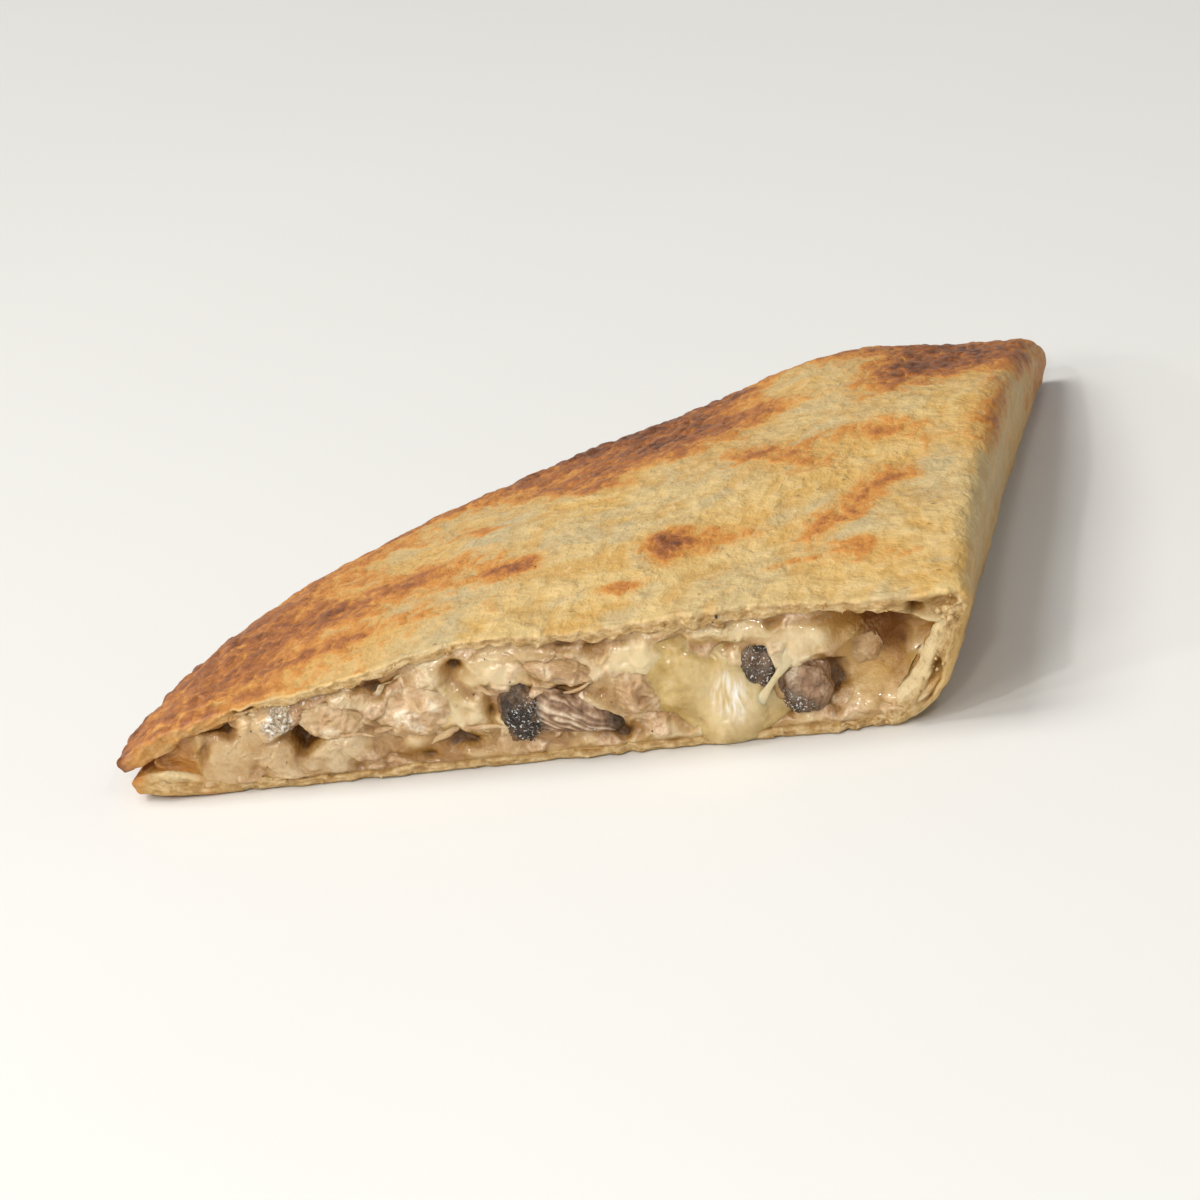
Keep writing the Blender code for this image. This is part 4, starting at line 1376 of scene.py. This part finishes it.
def tortilla_recipe(place):
    """Pale flour skin that browns with the toast tag, which also carries painted shade down the side
    of the fold; mottled, bubbled and speckled, with painted highlights and shade from its fine bump;
    a layered crumb at the cut, with painted shade in its holes; and a damp golden inner face."""
    flat = place.tag("flat", "Vector")
    toast, crumb, within, hollow = place.tags("toast", "crumb", "within", "hollow")
    level = flat.stretched((1, 0.62, 1))
    patchy = level.grain(22, 3, 0.5)
    mottle = level.grain(5.5, 3, 0.55, 0.5)
    fine = level.grain(1.9, 3, 0.5, 0.2)
    tiny = level.grain(0.6, 2, 0.5)
    bubbles = 1 - level.cells(1.5).eased(0.1, 0.75)
    # The toast tag brings the browning, with a little painted shade down the side of the fold.
    browned = toast + (mottle - 0.5) * (0.5 + toast * 0.8) + (fine - 0.5) * (0.2 + toast * 1.1)
    browned = browned + (bubbles - 0.4) * (toast * 0.26) + (tiny - 0.5) * (toast * 0.9)
    grey = level.grain(9, 3, 0.5, 0.4).eased(0.52, 0.66)
    # The fine noise also paints highlights on the raised specks of the bump and shade in its creases.
    pale = patchy.eased(0.4, 0.6).mixed((0.60, 0.37, 0.105), (0.52, 0.385, 0.175)).painted(
        (mottle.eased(0.46, 0.66), (0.65, 0.46, 0.185)),
        ((1 - mottle.eased(0.36, 0.5)) * 0.6, (0.55, 0.305, 0.07)),
        (grey * 0.65, (0.475, 0.385, 0.21)),
        (fine.eased(0.5, 0.68) * 0.4, (0.71, 0.535, 0.27)),
        ((1 - fine.eased(0.34, 0.47)) * 0.35, (0.46, 0.26, 0.075)),
        ((1 - tiny.eased(0.24, 0.36)) * 0.2, (0.34, 0.185, 0.055)),
    )
    skin_colour = browned.ramp(
        (0.0, (0.60, 0.39, 0.14)),
        (0.16, (0.59, 0.32, 0.08)),
        (0.34, (0.54, 0.22, 0.035)),
        (0.52, (0.38, 0.13, 0.024)),
        (0.74, (0.27, 0.085, 0.017)),
        (1.0, (0.15, 0.046, 0.010)),
    )
    freckles = 1 - flat.cells(2.3).eased(0.05, 0.2)
    freckles = freckles * flat.grain(9, 2).eased(0.45, 0.65) * (1 - crumb)
    streaks = flat.stretched((0.6, 1, 1.3)).grain(0.9, 4, 0.65)
    depth = place.node("ShaderNodeSeparateXYZ", {}, {0: flat}, result=2)
    crumb_colour = streaks.ramp(
        (0.32, (0.33, 0.175, 0.05)),
        (0.47, (0.50, 0.31, 0.11)),
        (0.66, (0.72, 0.53, 0.28)),
    ).painted(
        (depth.eased(2.0 * MM, 3.6 * MM) * 0.75, (0.78, 0.63, 0.35)),
        (browned.eased(0.05, 0.5) * 0.85, (0.55, 0.25, 0.05)),
    )
    damp = mottle.eased(0.3, 0.7).mixed((0.62, 0.27, 0.045), (0.80, 0.48, 0.13))
    # The holes in the cut get painted shade, dark brown, from their tag.
    colour = pale.painted(
        (browned.eased(0.06, 0.3), skin_colour),
        (freckles * 0.6, (0.20, 0.10, 0.04)),
        (crumb, crumb_colour),
        (hollow * 0.95, (0.33, 0.16, 0.022)),
        (within, damp),
    )
    roughness = 0.46 - browned.eased(0.3, 0.9) * 0.14 + fine * 0.2 - within * 0.2
    pores = flat.cells(0.9).eased(0.0, 0.35)
    height = fine * 0.72 + mottle * 0.85 + bubbles * toast * 0.3 + pores * 0.05 + tiny * 0.1
    height = height - freckles * 0.1 + streaks * crumb * 0.35
    return {"Base Color": colour, "Roughness": roughness, "Height": height}


def sauce_recipe(place):
    """Glossy cream sauce: ivory where it is cheesy, pinkish beige over the meat, golden in the pocket
    at the tip; painted shade in the hollows, amber and then brown and partly browned juices, darker
    in the recess corner; lighter raised places, and painted glints on the foam."""
    cheesy, hollow, meaty, wet = place.tags("cheesy", "hollow", "meaty", "wet")
    golden, raised, foam, amber, deep = place.tags("golden", "raised", "foam", "amber", "deep")
    cloud = place.grain(3.4, 4, 0.6)
    fine = place.grain(0.7, 4, 0.65)
    beads = place.cells(0.7)
    # The tone is random cloud plus painted light and shade: raised places lighter, low places darker.
    tone = cloud * 0.75 + raised * 0.5 - 0.13
    cream = tone.ramp(
        (0.26, (0.36, 0.18, 0.045)),
        (0.4, (0.50, 0.30, 0.11)),
        (0.52, (0.62, 0.42, 0.19)),
        (0.68, (0.76, 0.60, 0.36)),
    )
    meat = fine.ramp(
        (0.34, (0.46, 0.25, 0.11)),
        (0.5, (0.67, 0.44, 0.25)),
        (0.66, (0.86, 0.69, 0.48)),
    )
    ivory = tone.eased(0.32, 0.7).mixed((0.50, 0.33, 0.11), (0.74, 0.58, 0.32))
    browned = place.grain(1.9, 4, 0.6).eased(0.56, 0.72) * (1 - cheesy)
    golden_colour = tone.eased(0.3, 0.62).mixed((0.46, 0.235, 0.038), (0.68, 0.42, 0.12))
    # Painted shade in the hollows and pits, amber and then near black, partly browned juices.
    depth = hollow * (0.6 + fine * 0.6)
    colour = cream.painted(
        (meaty * 0.8, meat),
        (cheesy, ivory),
        (browned * 0.45, (0.38, 0.19, 0.06)),
        (golden * 0.86, golden_colour),
        (golden.eased(0.88, 1.0) * 0.6, (0.52, 0.20, 0.022)),
        (depth.eased(0.15, 0.75), (0.34, 0.165, 0.03)),
        (depth.eased(0.54, 0.96), (0.12, 0.048, 0.007)),
    )
    colour = (deep * 0.9).mixed(colour, (0.80, 0.73, 0.68), "MULTIPLY")
    beading = place.grain(0.6, 3, 0.6, 0.6)
    # The foam is painted with white glints and dark outlines.
    foam_glints = beading.ramp(
        (0.36, (0.14, 0.10, 0.06)),
        (0.46, (0.46, 0.36, 0.24)),
        (0.53, (0.66, 0.56, 0.42)),
        (0.6, (0.98, 0.98, 0.95)),
    )
    # Painted shade, near black amber, in the darkest corner of the recess.
    colour = colour.painted(
        ((amber + (fine - 0.5) * 0.6).eased(0.15, 0.75), (0.20, 0.075, 0.006)),
        (foam.eased(0.25, 0.7) * 0.85, foam_glints),
    )
    shaded = amber.eased(0.05, 0.5)
    coat = 0.75 * (1 - depth.eased(0.1, 0.7)) * (1 - shaded) * (1 - golden * 0.5)
    roughness = 0.2 + fine * 0.2 + meaty * 0.06 - wet * 0.18 + shaded * 0.3
    height = fine * (1 - cheesy) * 0.3 + place.grain(0.3, 2) * 0.06 + cloud * 0.2 + beads * wet * 0.35
    height = height + beading * foam * 0.5
    return {"Base Color": colour, "Roughness": roughness, "Coat Weight": coat, "Height": height}


def chicken_recipe(place):
    """Cooked white meat: pinkish beige with painted shade in the grooves between the strands, and a
    coat of cream in places and round the edge."""
    groove, edge, brown = place.tags("groove", "edge", "brown")
    cloud = place.grain(2.6, 4, 0.6)
    strand = place.stretched((0.4, 1, 1)).grain(0.6, 4, 0.65)
    fine = place.grain(0.4, 3, 0.6)
    coated = place.grain(2.1, 3).eased(0.52, 0.62)
    coated = coated + edge * 0.8 - coated * edge * 0.8
    # The grooves get painted shade.
    colour = cloud.ramp(
        (0.34, (0.56, 0.35, 0.17)),
        (0.5, (0.77, 0.55, 0.33)),
        (0.66, (0.95, 0.82, 0.61)),
    ).painted(
        (strand.eased(0.5, 0.68) * 0.45, (0.48, 0.26, 0.11)),
        (groove * 0.6, (0.36, 0.18, 0.07)),
        (coated * 0.75, cloud.mixed((0.50, 0.31, 0.12), (0.78, 0.60, 0.35))),
    )
    colour = brown.mixed(colour, (0.72, 0.6, 0.46), "MULTIPLY")
    roughness = 0.2 + strand * 0.3 - coated * 0.1
    height = strand * 0.4 + fine * 0.14 + coated * 0.08
    return {"Base Color": colour, "Roughness": roughness, "Height": height}


def cheese_recipe(place):
    """Smooth melted cheese: yellow ivory, whiter down the drip, with painted highlight streaks in fine
    runs.
    """
    runs, drip = place.tags("runs", "drip")
    cloud = place.grain(4.0, 3)
    fine = place.grain(0.7, 2)
    yellow = cloud.ramp(
        (0.34, (0.42, 0.27, 0.075)),
        (0.5, (0.55, 0.38, 0.13)),
        (0.66, (0.70, 0.53, 0.25)),
    )
    # Painted highlights: the runs turn near white in streaks.
    white = runs.ramp(
        (0.3, (0.60, 0.44, 0.20)),
        (0.52, (0.70, 0.56, 0.33)),
        (0.95, (0.97, 0.93, 0.84)),
    )
    roughness = 0.16 + place.grain(1.6, 3) * 0.3
    height = fine * 0.12 + cloud * 0.2 + runs * 0.06
    return {"Base Color": drip.mixed(yellow, white), "Roughness": roughness, "Height": height}


def mushroom_recipe(place):
    """Dark wet cap flesh, mottled grey and brown, with a thin brown skin round it, painted white
    specks for its glints, and a paler stem in light and dark lines."""
    pale, gill, edge, fleck = place.tags("pale", "gill", "edge", "fleck")
    cloud = place.grain(1.3, 4, 0.65)
    fine = place.grain(0.45, 3, 0.65)
    dark = cloud.ramp(
        (0.38, (0.006, 0.003, 0.001)),
        (0.52, (0.024, 0.011, 0.003)),
        (0.64, (0.075, 0.036, 0.012)),
        (0.78, (0.20, 0.115, 0.05)),
    )
    light = gill.ramp(
        (0.15, (0.11, 0.05, 0.02)),
        (0.5, (0.38, 0.22, 0.12)),
        (0.85, (0.80, 0.63, 0.44)),
    ).painted((fine.eased(0.5, 0.7) * 0.4, (0.26, 0.14, 0.07)))
    # Painted highlights: white specks stand in for glints on the wet flesh.
    glint_specks = place.grain(0.36, 2, 0.6, 0.3).eased(0.58, 0.65) * fleck.eased(0.1, 0.6)
    colour = dark.painted(
        (pale + (cloud - 0.5) * pale * 0.8, light),
        (edge * 0.6, (0.26, 0.13, 0.05)),
        (glint_specks * 0.95, (0.92, 0.90, 0.84)),
    )
    roughness = 0.12 + cloud * 0.2
    height = cloud * 0.4 + fine * 0.25 + place.cells(0.9) * 0.4 + glint_specks * 0.15
    return {"Base Color": colour, "Roughness": roughness, "Height": height}


def pepper_recipe(place):
    """Ground pepper: near black, with a few brown flecks."""
    cloud = place.grain(0.4, 2)
    colour = cloud.ramp((0.35, (0.02, 0.014, 0.01)), (0.65, (0.10, 0.06, 0.035)))
    return {"Base Color": colour, "Roughness": 0.5 + cloud * 0.3, "Height": cloud * 0.05}


def floor_recipe(place):
    """Plain pale table."""
    cloud = place.grain(180, 2)
    colour = cloud.mixed((0.74, 0.73, 0.70), (0.77, 0.76, 0.73))
    return {"Base Color": colour, "Roughness": 0.5 + cloud * 0.06, "Height": cloud * 0.01}


# ---- The table, the lights and the camera ----

CAMERA_PLACE = np.array((99.6, -557.1, 255.6))
CAMERA_AIM = np.array((-56, 38, 7))
CAMERA_ROLL = -11.85
LENS = 140
FLOOR_HALF = 2.0


def add_to_scene(name, data):
    """An object for some data, linked to the scene."""
    item = bpy.data.objects.new(name, data)
    bpy.context.scene.collection.objects.link(item)
    return item


def make_floor(look):
    """A wide level table under the food."""
    corners = [(x * FLOOR_HALF, y * FLOOR_HALF, 0) for x, y in ((-1, -1), (1, -1), (1, 1), (-1, 1))]
    mesh = bpy.data.meshes.new("table_top")
    mesh.from_pydata(corners, [], [(0, 1, 2, 3)])
    mesh.materials.append(look)
    table = add_to_scene("table_top", mesh)


def aim(item, place, target, roll=0.0):
    """Places an item and turns it to look at a target, with a roll in degrees."""
    way = Vector(target) - Vector(place)
    turn = way.to_track_quat("-Z", "Y").to_matrix().to_4x4()
    roll = Matrix.Rotation(math.radians(roll), 4, "Z")
    item.matrix_world = Matrix.Translation(Vector(place)) @ turn @ roll


CREAM_LIGHT, WHITE_LIGHT = (1.0, 0.98, 0.95), (1.0, 0.99, 0.97)
GLINT_SIZE = (0.05, 0.05)
# A large soft light behind and to the left, a weaker one in front, and small lamps that make wet
# surfaces glint: name, place and size in metres, power in watts, colour.
LIGHTS = (
    ("overhead_softbox", (-0.78, 0.08, 1.24), (0.72, 1.0), 16.5, CREAM_LIGHT),
    ("front_softbox", (-0.7, -1.55, 0.9), (0.5, 0.32), 6.5, CREAM_LIGHT),
    ("left_glint_lamp", (-0.62, -0.45, 0.4), GLINT_SIZE, 0.9, WHITE_LIGHT),
    ("high_glint_lamp", (-0.28, -0.55, 0.62), GLINT_SIZE, 1.3, WHITE_LIGHT),
    ("low_glint_lamp", (0.1, -0.7, 0.42), GLINT_SIZE, 0.9, WHITE_LIGHT),
    ("right_glint_lamp", (0.4, -0.45, 0.6), GLINT_SIZE, 0.6, WHITE_LIGHT),
)
SKY_COLOUR, SKY_STRENGTH = (0.98, 0.99, 1.0, 1), 0.27


def light_the_scene():
    """The lights, which look at the middle of the table, and an even sky."""
    for name, place, size, power, colour in LIGHTS:
        light = bpy.data.lights.new(name, "AREA")
        light.shape = "RECTANGLE"
        light.size, light.size_y = size
        light.energy = power
        light.color = colour
        aim(add_to_scene(name, light), place, (0, 0, 0))
    world = bpy.data.worlds.new("soft_sky")
    world.use_nodes = True
    sky = world.node_tree.nodes["Background"]
    sky.inputs["Color"].default_value = SKY_COLOUR
    sky.inputs["Strength"].default_value = SKY_STRENGTH
    bpy.context.scene.world = world
    bpy.context.scene.view_settings.view_transform = "Standard"


def make_camera():
    """The camera: its place and aim are in millimetres from the fold corner, with a roll."""
    camera = bpy.data.cameras.new("camera")
    camera.lens = LENS
    camera.sensor_width = 36
    item = add_to_scene("camera", camera)
    place, target = ((spot + FOLD_CORNER) * MM for spot in (CAMERA_PLACE, CAMERA_AIM))
    aim(item, place, target, CAMERA_ROLL)
    camera.clip_start, camera.clip_end = 0.01, 20
    bpy.context.scene.camera = item


def soft(weight, scale):
    """The glow of food that light enters: how much, and how deep in millimetres."""
    radius = (1.0, 0.55, 0.28)
    keys = "Subsurface_Weight", "Subsurface_Scale", "Subsurface_Radius"
    return dict(zip(keys, (weight, scale * MM, radius)))


def main():
    """Makes every look and piece, the table, the lights and the camera."""
    dough = new_look("toasted_tortilla_skin", tortilla_recipe, **soft(0.1, 0.6))
    sauce = new_look("glossy_creamy_sauce", sauce_recipe, Coat_Roughness=0.08, **soft(0.3, 1.2))
    meat = new_look("cooked_chicken_meat", chicken_recipe, **soft(0.25, 1.0))
    cheese = new_look("melted_ivory_cheese", cheese_recipe, Coat_Weight=0.3, **soft(0.4, 2.0))
    fungus = new_look("wet_dark_mushroom", mushroom_recipe, Coat_Weight=0.14, Coat_Roughness=0.05)
    pepper = new_look("ground_pepper", pepper_recipe)
    make_tortilla(dough)
    make_filling(sauce)
    make_chicken(meat)
    make_mushroom(fungus)
    make_cheese(cheese)
    make_pepper(pepper)
    make_crumbs(dough)
    make_shreds(meat)
    make_floor(new_look("pale_table", floor_recipe))
    light_the_scene()
    make_camera()


main()
